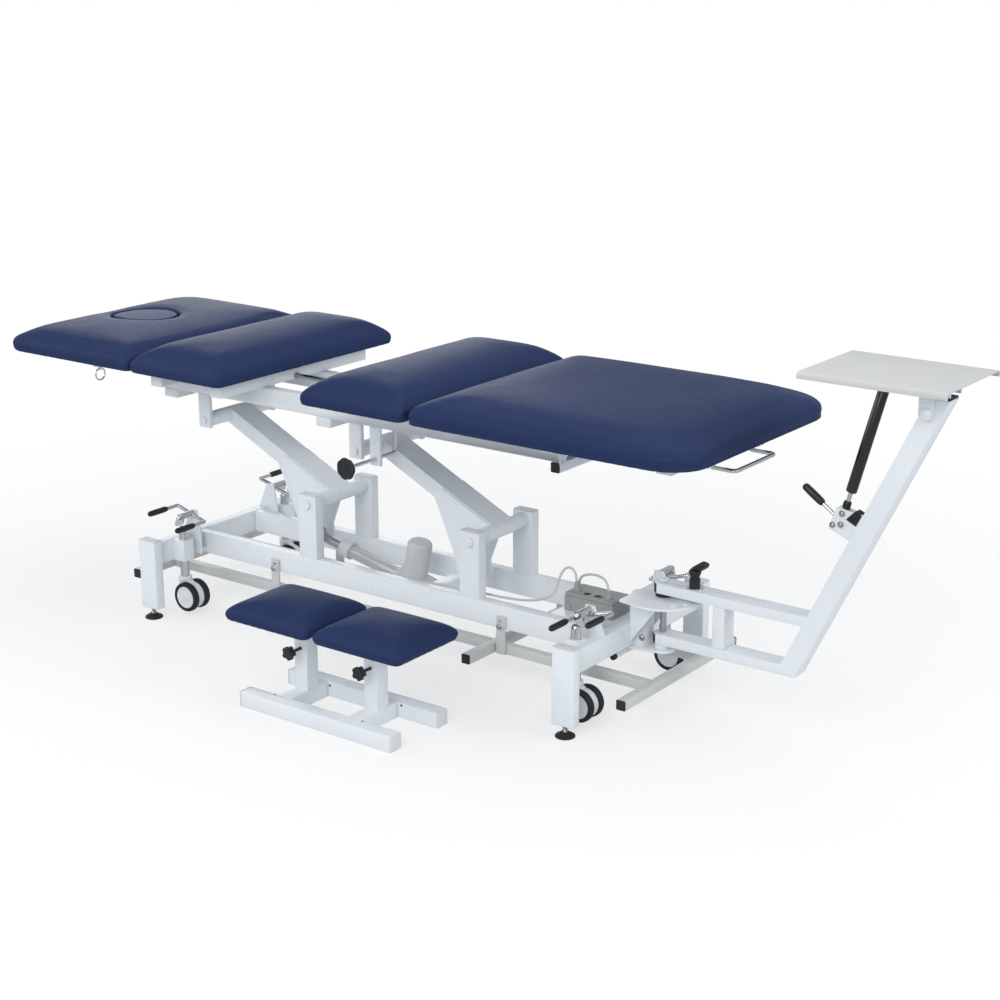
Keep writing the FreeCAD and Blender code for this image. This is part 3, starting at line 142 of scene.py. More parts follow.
# Camera: place, azimuth and elevation in degrees, focal length in mm.
CAMERA = ((2.9948, -3.7189, 1.8237), 36.16, 16.78, 68.74)

_materials = {}


def sizes():
    return bpy.context.scene.traction_sizes


def colours():
    return bpy.context.scene.traction_colours


# ---- materials


def put(thing, **settings):
    """Give a thing its settings, by name."""
    for name, value in settings.items():
        setattr(thing, name, value)
    return thing


def feed(node, given):
    """Input values of a node, by name."""
    for name, value in given.items():
        node.inputs[name].default_value = value


def add(tree, kind, given=None, **settings):
    """A new node with its settings and input values."""
    node = put(tree.nodes.new(kind), **settings)
    feed(node, given or {})
    return node


def wire(tree, *lines):
    """Join (node, output, node, input) lines."""
    for source, out, target, into in lines:
        tree.links.new(source.outputs[out], target.inputs[into])


def new_material(name):
    """A material with its node tree and its shader."""
    material = bpy.data.materials.new(name)
    material.use_nodes = True
    tree = material.node_tree
    return material, tree, tree.nodes["Principled BSDF"]


def surface(name, colour, rough, metallic=0.0, tint=0.05, broad=3.0, grain=900.0, relief=0.04, stretch=(1, 1, 1),
            cells=False, coat=0.0, specular=0.5):
    """A procedural finish: mottled colour, uneven roughness and a grain in relief (in mm)."""
    material, tree, shader = new_material(name)
    feed(shader, {"Metallic": metallic, "Coat Weight": coat, "Coat Roughness": 0.25,
                  "Specular IOR Level": specular})
    place = add(tree, "ShaderNodeTexCoord")
    mapping = add(tree, "ShaderNodeMapping", {"Scale": stretch})
    mottle = add(tree, "ShaderNodeTexNoise", {"Scale": broad, "Detail": 5})
    ramp = add(tree, "ShaderNodeValToRGB")
    for stop, at, share in zip(ramp.color_ramp.elements, (0.3, 0.7), (1 - tint, 1 + tint)):
        stop.position = at
        stop.color = [min(1, c * share) for c in colour] + [1]
    patch = add(tree, "ShaderNodeTexNoise", {"Scale": broad * 6, "Detail": 3})
    spread = add(tree, "ShaderNodeMapRange",
                 {"From Min": 0.3, "From Max": 0.7, "To Min": rough[0], "To Max": rough[1]})
    if cells:
        fine = add(tree, "ShaderNodeTexVoronoi", {"Scale": grain}, feature="SMOOTH_F1")
    else:
        fine = add(tree, "ShaderNodeTexNoise", {"Scale": grain, "Detail": 2})
    bump = add(tree, "ShaderNodeBump", {"Strength": 0.6, "Distance": relief / 1000})
    wire(tree, (place, "Object", mapping, "Vector"), (mapping, "Vector", mottle, "Vector"),
         (mottle, "Fac", ramp, "Fac"), (ramp, "Color", shader, "Base Color"),
         (mapping, "Vector", patch, "Vector"), (patch, "Fac", spread, "Value"),
         (spread, "Result", shader, "Roughness"), (mapping, "Vector", fine, "Vector"),
         (fine, "Distance" if cells else "Fac", bump, "Height"), (bump, "Normal", shader, "Normal"))
    return material


def finish(name):
    """The material of a finish, made when it is first asked for."""
    if name not in _materials:
        _, colour, rough, more = FINISHES[name]
        _materials[name] = surface(name, getattr(colours(), colour), rough, **more)
    return _materials[name]


# ---- meshes


def to_mesh(bm, name):
    bmesh.ops.recalc_face_normals(bm, faces=bm.faces)
    mesh = bpy.data.meshes.new(name)
    bm.to_mesh(mesh)
    bm.free()
    return mesh


def linked(name, mesh):
    obj = bpy.data.objects.new(name, mesh)
    bpy.context.scene.collection.objects.link(obj)
    return obj


def evaluated(obj):
    """The object's mesh with its modifiers worked in; the object itself goes."""
    bpy.context.view_layer.update()
    graph = bpy.context.evaluated_depsgraph_get()
    mesh = bpy.data.meshes.new_from_object(obj.evaluated_get(graph), depsgraph=graph)
    bpy.data.objects.remove(obj)
    return mesh


def as_mesh(shape, name):
    return to_mesh(shape, name) if isinstance(shape, bmesh.types.BMesh) else shape


def piece(name, shape, body, coat, nodes=(), angle=33.0):
    """A finished shape becomes a piece of one body, standing in for the CAD nodes named."""
    mesh = as_mesh(shape, name)
    mesh.name = name
    mesh.materials.clear()
    mesh.materials.append(finish(coat))
    mesh.polygons.foreach_set("use_smooth", [True] * len(mesh.polygons))
    mesh.polygons.foreach_set("material_index", [0] * len(mesh.polygons))
    mesh.set_sharp_from_angle(angle=math.radians(angle))
    obj = linked(name, mesh)
    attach(obj, body)
    if nodes:
        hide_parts(*nodes)
    return obj


def dress(node, coat):
    """A CAD node that keeps its own shape takes a finish."""
    obj, material = NODES[node], finish(coat)
    if not obj.material_slots:
        obj.data.materials.append(material)
    for held in obj.material_slots:
        held.link = "OBJECT"
        held.material = material


def islands(bm):
    """The vertices of each solid in the mesh."""
    seen, groups = set(), []
    for first in bm.verts:
        if first in seen:
            continue
        group, stack = [], [first]
        seen.add(first)
        while stack:
            vert = stack.pop()
            group.append(vert)
            for edge in vert.link_edges:
                other = edge.other_vert(vert)
                if other not in seen:
                    seen.add(other)
                    stack.append(other)
        groups.append(group)
    return groups


def round_edges(bm, radius):
    """Round the sharp edges of each solid copied from the CAD by radius, or less where the solid is thin."""
    for group in islands(bm):
        co = np.array([v.co for v in group])
        thin = float((co.max(0) - co.min(0)).min())
        offset = min(radius, 0.28 * thin)
        edges = {e for v in group for e in v.link_edges}
        sharp = [e for e in edges if e.is_manifold and e.calc_face_angle(0) > SHARP]
        if sharp:
            bmesh.ops.bevel(bm, geom=sharp, offset=offset, offset_type="OFFSET", segments=3, profile=0.5,
                            affect="EDGES", clamp_overlap=True)


def clean_copy(node):
    """A CAD node's mesh with the flat faces joined up."""
    bm = bmesh.new()
    bm.from_mesh(NODES[node].data)
    bmesh.ops.remove_doubles(bm, verts=bm.verts, dist=0.00002)
    bmesh.ops.dissolve_limit(bm, angle_limit=math.radians(1.0), verts=bm.verts, edges=bm.edges)
    return bm


def softened(name, node, radius, coat, angle=33.0):
    """A piece that is its CAD node with the sheet and tube edges rounded."""
    bm = clean_copy(node)
    round_edges(bm, radius)
    piece(name, bm, NODES[node]["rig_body"], coat, (node,), angle)


def bridged(bm, rings):
    """Close a solid over rings of the same count."""
    count = len(rings[0])
    for low, high in zip(rings, rings[1:]):
        for i in range(count):
            j = (i + 1) % count
            bm.faces.new((low[i], low[j], high[j], high[i]))
    bm.faces.new(rings[0][::-1])
    bm.faces.new(rings[-1])


def both_sides(*points):
    """Spots facing outwards at points of the far side, and the same on the near side."""
    return [(Vector((p.x, side * p.y, p.z)), Y * side) for p in points for side in SIDES]


def around(count):
    """Evenly spaced angles of a full turn."""
    return [2 * math.pi * i / count for i in range(count)]


def lathe(bm, profile, base, axis, steps=40, closed=True):
    """Turn (along, radius) points in mm about an axis through base; a zero radius or closed shuts the ends."""
    axis = axis.normalized()
    side = axis.orthogonal().normalized()
    other = axis.cross(side)
    rings = []
    for along, radius in profile:
        centre = base + axis * (along / 1000)
        if not radius:
            rings.append([bm.verts.new(centre)])
            continue
        rings.append([bm.verts.new(centre + (side * math.cos(a) + other * math.sin(a)) * (radius / 1000))
                      for a in around(steps)])
    for low, high in zip(rings, rings[1:]):
        for i in range(steps):
            j = (i + 1) % steps
            m, n = len(low), len(high)
            corners = dict.fromkeys((low[i % m], low[j % m], high[j % n], high[i % n]))
            if len(corners) > 2:
                bm.faces.new(tuple(corners))
    for ring in (rings[0][::-1], rings[-1]):
        if closed and len(ring) > 1:
            bm.faces.new(ring)


def turned(*profile_and_place):
    """A shape that is one turning, given as for the lathe."""
    bm = bmesh.new()
    lathe(bm, *profile_and_place)
    return bm


def prism(bm, points, depth):
    """A flat outline given as points, pushed along a vector."""
    bridged(bm, [[bm.verts.new(p + off) for p in points] for off in (ORIGIN, depth)])


def slab(bm, low, high):
    """A block between two opposite corners."""
    sides = ((low.x, low.y), (high.x, low.y), (high.x, high.y), (low.x, high.y))
    prism(bm, [Vector((x, y, low.z)) for x, y in sides], Z * (high.z - low.z))


def path_mesh(points, radius, name, steps=10):
    """A round bar or lead along a NURBS line that the points control."""
    curve = bpy.data.curves.new(name, "CURVE")
    put(curve, dimensions="3D", bevel_depth=radius, bevel_resolution=5, use_fill_caps=True)
    spline = curve.splines.new("NURBS")
    spline.points.add(len(points) - 1)
    for at, p in zip(spline.points, points):
        at.co = (*p, 1)
    put(spline, order_u=3, use_endpoint_u=True, resolution_u=steps)
    mesh = evaluated(linked(name, curve))
    bpy.data.curves.remove(curve)
    return mesh


def cut_by(obj, shape, operation):
    """Give an object a boolean modifier; the tool has to be removed once the result is taken."""
    tool = linked("tool", shape)
    put(obj.modifiers.new("Cut", "BOOLEAN"), operation=operation, object=tool, solver="EXACT")
    return tool


def bored(shape, base, axis, length, radius):
    """The shape with a round hole through it."""
    drill = turned([(0, 0), (0, radius), (length, radius), (length, 0)], base, axis, 48)
    obj = linked("bored", to_mesh(shape, "bored"))
    tool = cut_by(obj, to_mesh(drill, "drill"), "DIFFERENCE")
    made = evaluated(obj)
    bpy.data.objects.remove(tool)
    return made


def append_mesh(bm, mesh):
    bm.from_mesh(mesh)
    bpy.data.meshes.remove(mesh)


def tight_bends(points, reach):
    """Control points that hold a bar straight up to each bend."""
    out = [points[0]]
    for a, b, c in zip(points, points[1:], points[2:]):
        out += [b + (a - b).normalized() * reach, b, b + (c - b).normalized() * reach]
    return out + [points[-1]]


def barrel(bm, base, axis, length, radius):
    """A moulded grip in mm: full in the middle and rounded at both ends."""
    profile = [(0, 0), (0, radius * 0.55), (length * 0.03, radius * 0.78), (length * 0.09, radius * 0.9)]
    for i in range(9):
        t = 0.14 + 0.09 * i
        profile.append((length * t, radius * (0.93 + 0.07 * math.sin(math.pi * t))))
    profile += [(length * 0.92, radius * 0.9), (length * 0.975, radius * 0.68), (length, radius * 0.3), (length, 0)]
    lathe(bm, profile, base, axis)


# ---- repeated trim


def placing_tree():
    """Geometry nodes that set one piece down at every point, turned as the point says."""
    tree = bpy.data.node_groups.get("Place trim")
    if tree:
        return tree
    tree = bpy.data.node_groups.new("Place trim", "GeometryNodeTree")
    tree.is_modifier = True
    for name, kind in (("Geometry", "NodeSocketGeometry"), ("Piece", "NodeSocketObject")):
        tree.interface.new_socket(name=name, in_out="INPUT", socket_type=kind)
    tree.interface.new_socket(name="Geometry", in_out="OUTPUT", socket_type="NodeSocketGeometry")
    given, result = add(tree, "NodeGroupInput"), add(tree, "NodeGroupOutput")
    info = add(tree, "GeometryNodeObjectInfo")
    turn = add(tree, "GeometryNodeInputNamedAttribute", {"Name": "turn"}, data_type="FLOAT_VECTOR")
    rotation = add(tree, "FunctionNodeEulerToRotation")
    copies = add(tree, "GeometryNodeInstanceOnPoints")
    real = add(tree, "GeometryNodeRealizeInstances")
    wire(tree, (given, "Piece", info, "Object"), (given, "Geometry", copies, "Points"),
         (info, "Geometry", copies, "Instance"), (turn, "Attribute", rotation, "Euler"),
         (rotation, "Rotation", copies, "Rotation"), (copies, "Instances", real, "Geometry"),
         (real, "Geometry", result, "Geometry"))
    return tree


def placed(name, shape, spots, body, coat):
    """Copies of a small shape, built facing +Z, at (point, facing direction) spots on one body."""
    holder = bpy.data.meshes.new(name + "_spots")
    holder.from_pydata([p for p, _ in spots], [], [])
    turn = holder.attributes.new("turn", "FLOAT_VECTOR", "POINT")
    for at, (_, facing) in zip(turn.data, spots):
        at.vector = Vector(facing).to_track_quat("Z", "Y").to_euler()
    source = linked(name + "_source", as_mesh(shape, name))
    obj = linked(name + "_copies", holder)
    tree = placing_tree()
    modifier = obj.modifiers.new("Place", "NODES")
    modifier.node_group = tree
    for item in tree.interface.items_tree:
        if item.name == "Piece":
            modifier[item.identifier] = source
    mesh = evaluated(obj)
    bpy.data.objects.remove(source)
    return piece(name, mesh, body, coat)


def outline(xs, ys, z, r_low, r_high, per_corner):
    """A level rectangle with rounded corners, those at the low x and the high x each with their radius."""
    points = []
    for x, y, r, sx, sy, start in ((xs[1], ys[0], r_high, 1, -1, -90), (xs[1], ys[1], r_high, 1, 1, 0),
                                   (xs[0], ys[1], r_low, -1, 1, 90), (xs[0], ys[0], r_low, -1, -1, 180)):
        for k in range(per_corner):
            a = math.radians(start + 90.0 * k / (per_corner - 1))
            points.append((x - sx * r + r * math.cos(a), y - sy * r + r * math.sin(a), z))
    return points


def cap_shape(wide, deep, thick):
    """A moulded end cap lying on z = 0, with a lip, a soft edge and a slight crown, in mm."""
    bm = bmesh.new()
    rings = []
    least, edge, crown = min(wide, deep), 1.6, 0.8
    rows = ((0, 0.3), (thick * 0.45, 0), (thick - edge * 0.5, 0.2), (thick - edge * 0.12, edge * 0.45),
            (thick, edge * 1.2), (thick + crown * 0.7, least * 0.22), (thick + crown, least * 0.38))
    for height, inset in rows:
        hx, hy = wide / 2 - inset, deep / 2 - inset
        r = max(min(3.0 - inset * 0.3, hx * 0.8, hy * 0.8), 0.3)
        rings.append([bm.verts.new(mm(*p)) for p in outline((-hx, hx), (-hy, hy), height, r, r, 5)])
    bridged(bm, rings)
    return bm


def bolt_shape(radius, height):
    """A button-headed socket screw on a washer, standing on z = 0."""
    return turned([(0, 0), (0, radius * 1.35), (0.8, radius * 1.35), (1, radius), (height * 0.55, radius * 0.96),
                   (height * 0.85, radius * 0.74), (height, radius * 0.5), (height * 0.62, radius * 0.44),
                   (height * 0.6, 0)], ORIGIN, Z, 24)


def shade_disc_shape(radius):
    """A shallow disc with a rim, lying on z = 0, that stands for a round hole and carries its painted shade."""
    return turned([(-0.4, 0), (-0.4, radius), (0.25, radius * 0.96), (0.25, radius * 0.7), (0.1, 0)], ORIGIN, Z, 20)


# ---- cushions


def pad_ring(xs, ys, z, r_low, r_high, per_corner=9):
    """One level outline of a pad, with evenly divided sides."""
    points, out = outline(xs, ys, z, r_low, r_high, per_corner), []
    for i, p in enumerate(points):
        out.append(p)
        if i % per_corner == per_corner - 1:
            q = points[(i + 1) % len(points)]
            for k in range(1, SIDE_STEPS):
                t = k / SIDE_STEPS
                out.append(tuple(a + (b - a) * t for a, b in zip(p, q)))
    return out


def pad_rows(section, low):
    """Closely spaced (height, inset) rows of a pad section in metres, with its crown lowered by a share."""
    lower, rise, reach, power = section
    rows = []
    for (h0, i0), (h1, i1) in zip(lower, lower[1:]):
        rows += [(h0 + (h1 - h0) * k / 4, i0 + (i1 - i0) * math.sin(math.pi / 8 * k)) for k in range(4)]
    for k in range(CROWN_ROWS):
        share = 1 - math.cos(math.pi / 2 * k / CROWN_ROWS)
        rows.append((lower[-1][0] + rise * (1 - (1 - share) ** 2) ** power, reach * share))
    return [(h * low / 1000, i / 1000) for h, i in rows]


def pad_mesh(xs, ys, z0, fine, r_low, r_high):
    """The closed skin of a pad as many rings through its section rows, all in metres."""
    bm = bmesh.new()
    rings = []
    for height, inset in fine:
        if 2 * inset > 0.96 * min(xs[1] - xs[0], ys[1] - ys[0]):
            break
        most = 0.45 * min(xs[1] - xs[0] - 2 * inset, ys[1] - ys[0] - 2 * inset)
        low = min(r_low + 0.45 * inset, most)
        high = min(r_high + 0.45 * inset, most)
        ring = pad_ring((xs[0] + inset, xs[1] - inset), (ys[0] + inset, ys[1] - inset), z0 + height, low, high)
        rings.append([bm.verts.new(p) for p in ring])
    bridged(bm, rings)
    return to_mesh(bm, "pad")


def oval_mesh(rx, ry, z0, z1, count=96):
    """An upright oval post at the face hole."""
    bm = bmesh.new()
    points = [Vector((FACE[0] + rx * math.cos(a), ry * math.sin(a), z0)) for a in around(count)]
    prism(bm, points, Z * (z1 - z0))
    return to_mesh(bm, "oval")


def even_skin(mesh, cell, cutter=None, keep_inside=False):
    """Recut a pad to an even net, with an oval taken out of it or kept alone."""
    obj = linked("skin", mesh)
    tool = cut_by(obj, cutter, "INTERSECT" if keep_inside else "DIFFERENCE") if cutter else None
    put(obj.modifiers.new("Net", "REMESH"), mode="VOXEL", voxel_size=cell)
    put(obj.modifiers.new("Calm", "SMOOTH"), factor=0.5, iterations=3)
    skin = evaluated(obj)
    if tool:
        bpy.data.objects.remove(tool)
    return skin


def vectors(mesh, what="co"):
    """The places or normals of the vertices as an array."""
    values = np.empty(len(mesh.vertices) * 3)
    mesh.vertices.foreach_get(what, values)
    return values.reshape(-1, 3)


def evened(mesh, move):
    """A vertex movement averaged over its neighbours, so that only the broad swell stays."""
    ends = np.empty(len(mesh.edges) * 2, dtype=np.int64)
    mesh.edges.foreach_get("vertices", ends)
    a, b = ends.reshape(-1, 2).T
    count = len(mesh.vertices)
    share = np.maximum(np.bincount(ends, minlength=count), 1)[:, None]
    for _ in range(EVEN_ROUNDS):
        near = [np.bincount(a, m[b], count) + np.bincount(b, m[a], count) for m in move.T]
        move = 0.5 * move + 0.5 * np.stack(near, 1) / share
    return move


def fill_pads(pads):
    """Blow the foam up under the vinyl for a few frames, with the board edges held."""
    scene = bpy.context.scene
    scene.frame_set(1)
    for pad in pads:
        obj = linked("sim_" + pad["name"], pad["mesh"])
        co = vectors(pad["mesh"])
        held = obj.vertex_groups.new(name="board")
        held.add([int(i) for i in np.nonzero(pad["held"](co))[0]], 1.0, "REPLACE")
        cloth = obj.modifiers.new("Foam", "CLOTH")
        put(cloth.settings, uniform_pressure_force=sizes().pressure, **CLOTH)
        cloth.settings.effector_weights.gravity = 0
        cloth.collision_settings.use_collision = False
        put(cloth.point_cache, frame_start=1, frame_end=sizes().frames)
        pad.update(obj=obj, start=co)
    for number in range(1, sizes().frames + 1):
        scene.frame_set(number)
    graph = bpy.context.evaluated_depsgraph_get()
    for pad in pads:
        skin = bpy.data.meshes.new_from_object(pad["obj"].evaluated_get(graph), depsgraph=graph)
        move = evened(skin, vectors(skin) - pad["start"])
        move[pad["held"](pad["start"])] = 0
        far = np.linalg.norm(move, axis=1, keepdims=True)
        capped = pad["start"] + move * np.minimum(1.0, sizes().swell / np.maximum(far, 1e-9))
        skin.vertices.foreach_set("co", capped.ravel())
        skin.update()
        bpy.data.objects.remove(pad["obj"])
        pad["mesh"] = skin
    scene.frame_set(1)


def draw_in(pad, rise):
    """Pleat the skin along the board edge, leave the top slightly uneven and bring the pad to its full size.

    A plug takes its rise from the pad around it; the rise used is handed back.
    """
    mesh = pad["mesh"]
    co, n = vectors(mesh), vectors(mesh, "normal")
    across = np.abs(n[:, 1]) > np.abs(n[:, 0])
    s = np.where(across, co[:, 0], co[:, 1])
    pitch = sizes().pleat_pitch
    edge_height = 0.026
    wobble = s + 0.006 * np.sin(s * 41.0 + pad["z0"] * 7) + 0.004 * np.sin(s * 97.0)
    fold = (0.5 + 0.5 * np.cos(2 * math.pi * wobble / pitch)) ** 2
    h = co[:, 2] - pad["z0"]
    fade = np.clip(1 - h / edge_height, 0, 1) ** 1.5 * np.clip(1 - np.abs(n[:, 2]) * 0.8, 0, 1)
    patch = 0.6 + 0.4 * np.sin(s * 13.0 + 1.7)
    co -= n * (sizes().pleat_depth * fold * fade * patch)[:, None]
    top = np.clip(n[:, 2], 0, 1)
    wave = np.sin(co[:, 0] * 21 + 2 * np.sin(co[:, 1] * 9)) * np.sin(co[:, 1] * 17 + 1.3)
    co[:, 2] += 0.0006 * wave * top
    low, high = np.array(pad["box"])
    if pad["fit"]:
        now_low, now_high = co.min(0), co.max(0)
        grow = (high - low) / (now_high - now_low)
        rise = grow[2]
        co = low + (co - now_low) * grow
    else:
        co[:, 2] = pad["z0"] + (co[:, 2] - pad["z0"]) * rise
    co = np.minimum(np.maximum(co, low), high)
    mesh.vertices.foreach_set("co", co.ravel())
    mesh.update()
    return rise


def pad_piece(pad):
    """Subdivide the skin once and hand it over as a smooth-shaded piece."""
    obj = linked("fine", pad["mesh"])
    put(obj.modifiers.new("Fine", "SUBSURF"), levels=1, render_levels=1)
    made = piece(pad["name"], evaluated(obj), pad["body"], "navy_vinyl", (pad["node"],), 180)


def pad(node, body, xs, ys, z0, rows, r_low, r_high, cell, hole=None, plug=False):
    """Start skin of one pad, a little inside its CAD solid, and what holds it."""
    shy = sizes().swell * 0.25
    usual_height = 0.140
    skin = pad_mesh((xs[0] + shy, xs[1] - shy), (ys[0] + shy, ys[1] - shy), z0,
                    pad_rows(rows, 1 - shy / usual_height), r_low, r_high)
    cutter = None
    if hole:
        grow = -0.003 if plug else 0.0015
        cutter = oval_mesh(hole[0] + grow, hole[1] + grow, z0 - (0.01 if plug else 0.02), z0 + 0.2)
    skin = even_skin(skin, cell, cutter, plug)

    def held(co):
        keep = co[:, 2] < z0 + 0.006
        if hole:
            reach = ((co[:, 0] - FACE[0]) / hole[0]) ** 2 + (co[:, 1] / hole[1]) ** 2
            keep |= (reach > 0.86) if plug else (reach < 1.10)
        return keep

    return {"name": node + "_vinyl", "node": node, "body": body, "mesh": skin, "z0": z0, "held": held,
            "box": [list(c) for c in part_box(node)], "fit": not plug}


# ---- properties


def span(label, what, value):
    return bpy.props.FloatProperty(name=label, description=what, default=value, unit="LENGTH")


def tone(label, what, value):
    return bpy.props.FloatVectorProperty(
        name=label, description=what, subtype="COLOR", size=3, min=0, max=1, default=value)


class TractionSizes(bpy.types.PropertyGroup):
    """Sizes of the finish, in metres."""

    tube_edge: span("Tube edge", "Radius along the edges of the tubes", 0.003)
    plate_edge: span("Plate edge", "Radius along the edges of the plates", 0.0012)
    pad_cell: span("Pad cell", "Net size of the large pads", 0.007)
    seat_cell: span("Seat cell", "Net size of the stool seats and the face plug", 0.005)
    swell: span("Swell", "Furthest the foam pushes the vinyl", 0.006)
    pressure: bpy.props.FloatProperty(name="Pressure", description="Push of the foam", default=4.0)
    frames: bpy.props.IntProperty(name="Frames", description="Frames the foam works for", default=20)
    pleat_pitch: span("Pleat pitch", "Spacing of the pleats at the board edge", 0.026)
    pleat_depth: span("Pleat depth", "Depth of the pleats at the board edge", 0.0022)
    lead: span("Lead radius", "Radius of the control leads", 0.003)


class TractionColours(bpy.types.PropertyGroup):
    """Base colours of the finishes."""

    frame: tone("Frame", "Powder coat of the frame", (0.815, 0.855, 0.885))
    tray: tone("Platform", "Powder coat of the traction platform", (0.60, 0.60, 0.597))
    silver: tone("Bars", "Paint of the foot-switch bars", (0.60, 0.602, 0.59))
    cap: tone("Caps", "Plastic caps on the legs and uprights", (0.72, 0.73, 0.73))
    vinyl: tone("Vinyl", "Upholstery", (0.0225, 0.0375, 0.103))
    black: tone("Black", "Knobs, grips, caps and tyres", (0.008, 0.008, 0.009))
    # Painted shade: the near-black colour of the discs that stand for the shade inside holes and sockets.
    bore: tone("Bores", "Inside of holes and sockets", (0.02, 0.02, 0.022))
    grey: tone("Grey", "Control housing", (0.34, 0.345, 0.335))
    motor: tone("Motor", "Actuator housing and leads", (0.60, 0.62, 0.62))
    tube: tone("Tube", "Actuator tube", (0.66, 0.66, 0.66))
    wheel: tone("Wheel", "Caster discs and hubs", (0.78, 0.80, 0.81))
    chrome: tone("Chrome", "Plated bars", (0.62, 0.62, 0.635))
    steel: tone("Steel", "Pins and rods", (0.44, 0.44, 0.455))


# ---- operators


class TRACTION_OT_frame(bpy.types.Operator):
    """Rounds and paints the welded tubes and plates"""

    bl_idname = "traction.frame"
    bl_label = "Frame"

    def execute(self, context):
        tubes = ("legs", "base_rails", "uprights", "head_lift_arm", "foot_lift_arm", "top_frame", "head_frame",
                 "carriage_frame", "swing_frame", "stool_base", "seat_post_left", "seat_post_right")
        plates = ("base_brackets", "caster_mounts", "turret", "arm_brackets", "pivot_pins")
        for names, radius, coat in ((tubes, sizes().tube_edge, "powder_coat"),
                                    (plates, sizes().plate_edge, "powder_coat"),
                                    (("foot_bars",), sizes().tube_edge, "silver_coat")):
            for node in names:
                softened(node + "_coat", node, radius, coat)
        for node in ("actuator_rod", "damper_rod", "damper_cylinder"):
            dress(node, "steel")
        stems = ["caster_stem_" + tag for tag, _, _ in TAGS]
        for node in ("lock_rod", "pull_handle", "pull_ring", "gas_rod", *stems):
            dress(node, "chrome")
        return {"FINISHED"}


class TRACTION_OT_cushions(bpy.types.Operator):
    """Fills and draws in the four table pads, the face plug and the two stool seats"""

    bl_idname = "traction.cushions"
    bl_label = "Cushions"

    def execute(self, context):
        cell, small = sizes().pad_cell, sizes().seat_cell
        wide, z0, r = (-0.350, 0.350), 0.698, 0.014
        head = (-1.158, -0.6775)
        pads = [
            pad("head_cushion", "head_section", head, wide, z0, HEAD_PAD, 0.050, r, cell, hole=FACE[1:]),
            pad("face_plug", "plug", head, wide, z0, HEAD_PAD, 0.050, r, small, hole=FACE[1:], plug=True),
            pad("chest_cushion", "top", (-0.6735, -0.350), wide, z0, FULL_PAD, r, r, cell),
            pad("pelvis_cushion", "carriage", (-0.080, 0.243), wide, z0, FULL_PAD, r, r, cell),
            pad("leg_cushion", "carriage", (0.254, 1.020), wide, z0, LEG_PAD, 0.024, 0.095, cell),
        ]
        for name, xs in (("left", (-0.107, 0.157)), ("right", (0.173, 0.437))):
            pads.append(pad("stool_seat_" + name, "seat_" + name, xs, (-0.612, -0.375), 0.211, STOOL_PAD, 0.012,
                            0.012, small))
        fill_pads(pads)
        rise = 1.0
        for made in pads:
            rise = draw_in(made, rise)
            pad_piece(made)
        return {"FINISHED"}


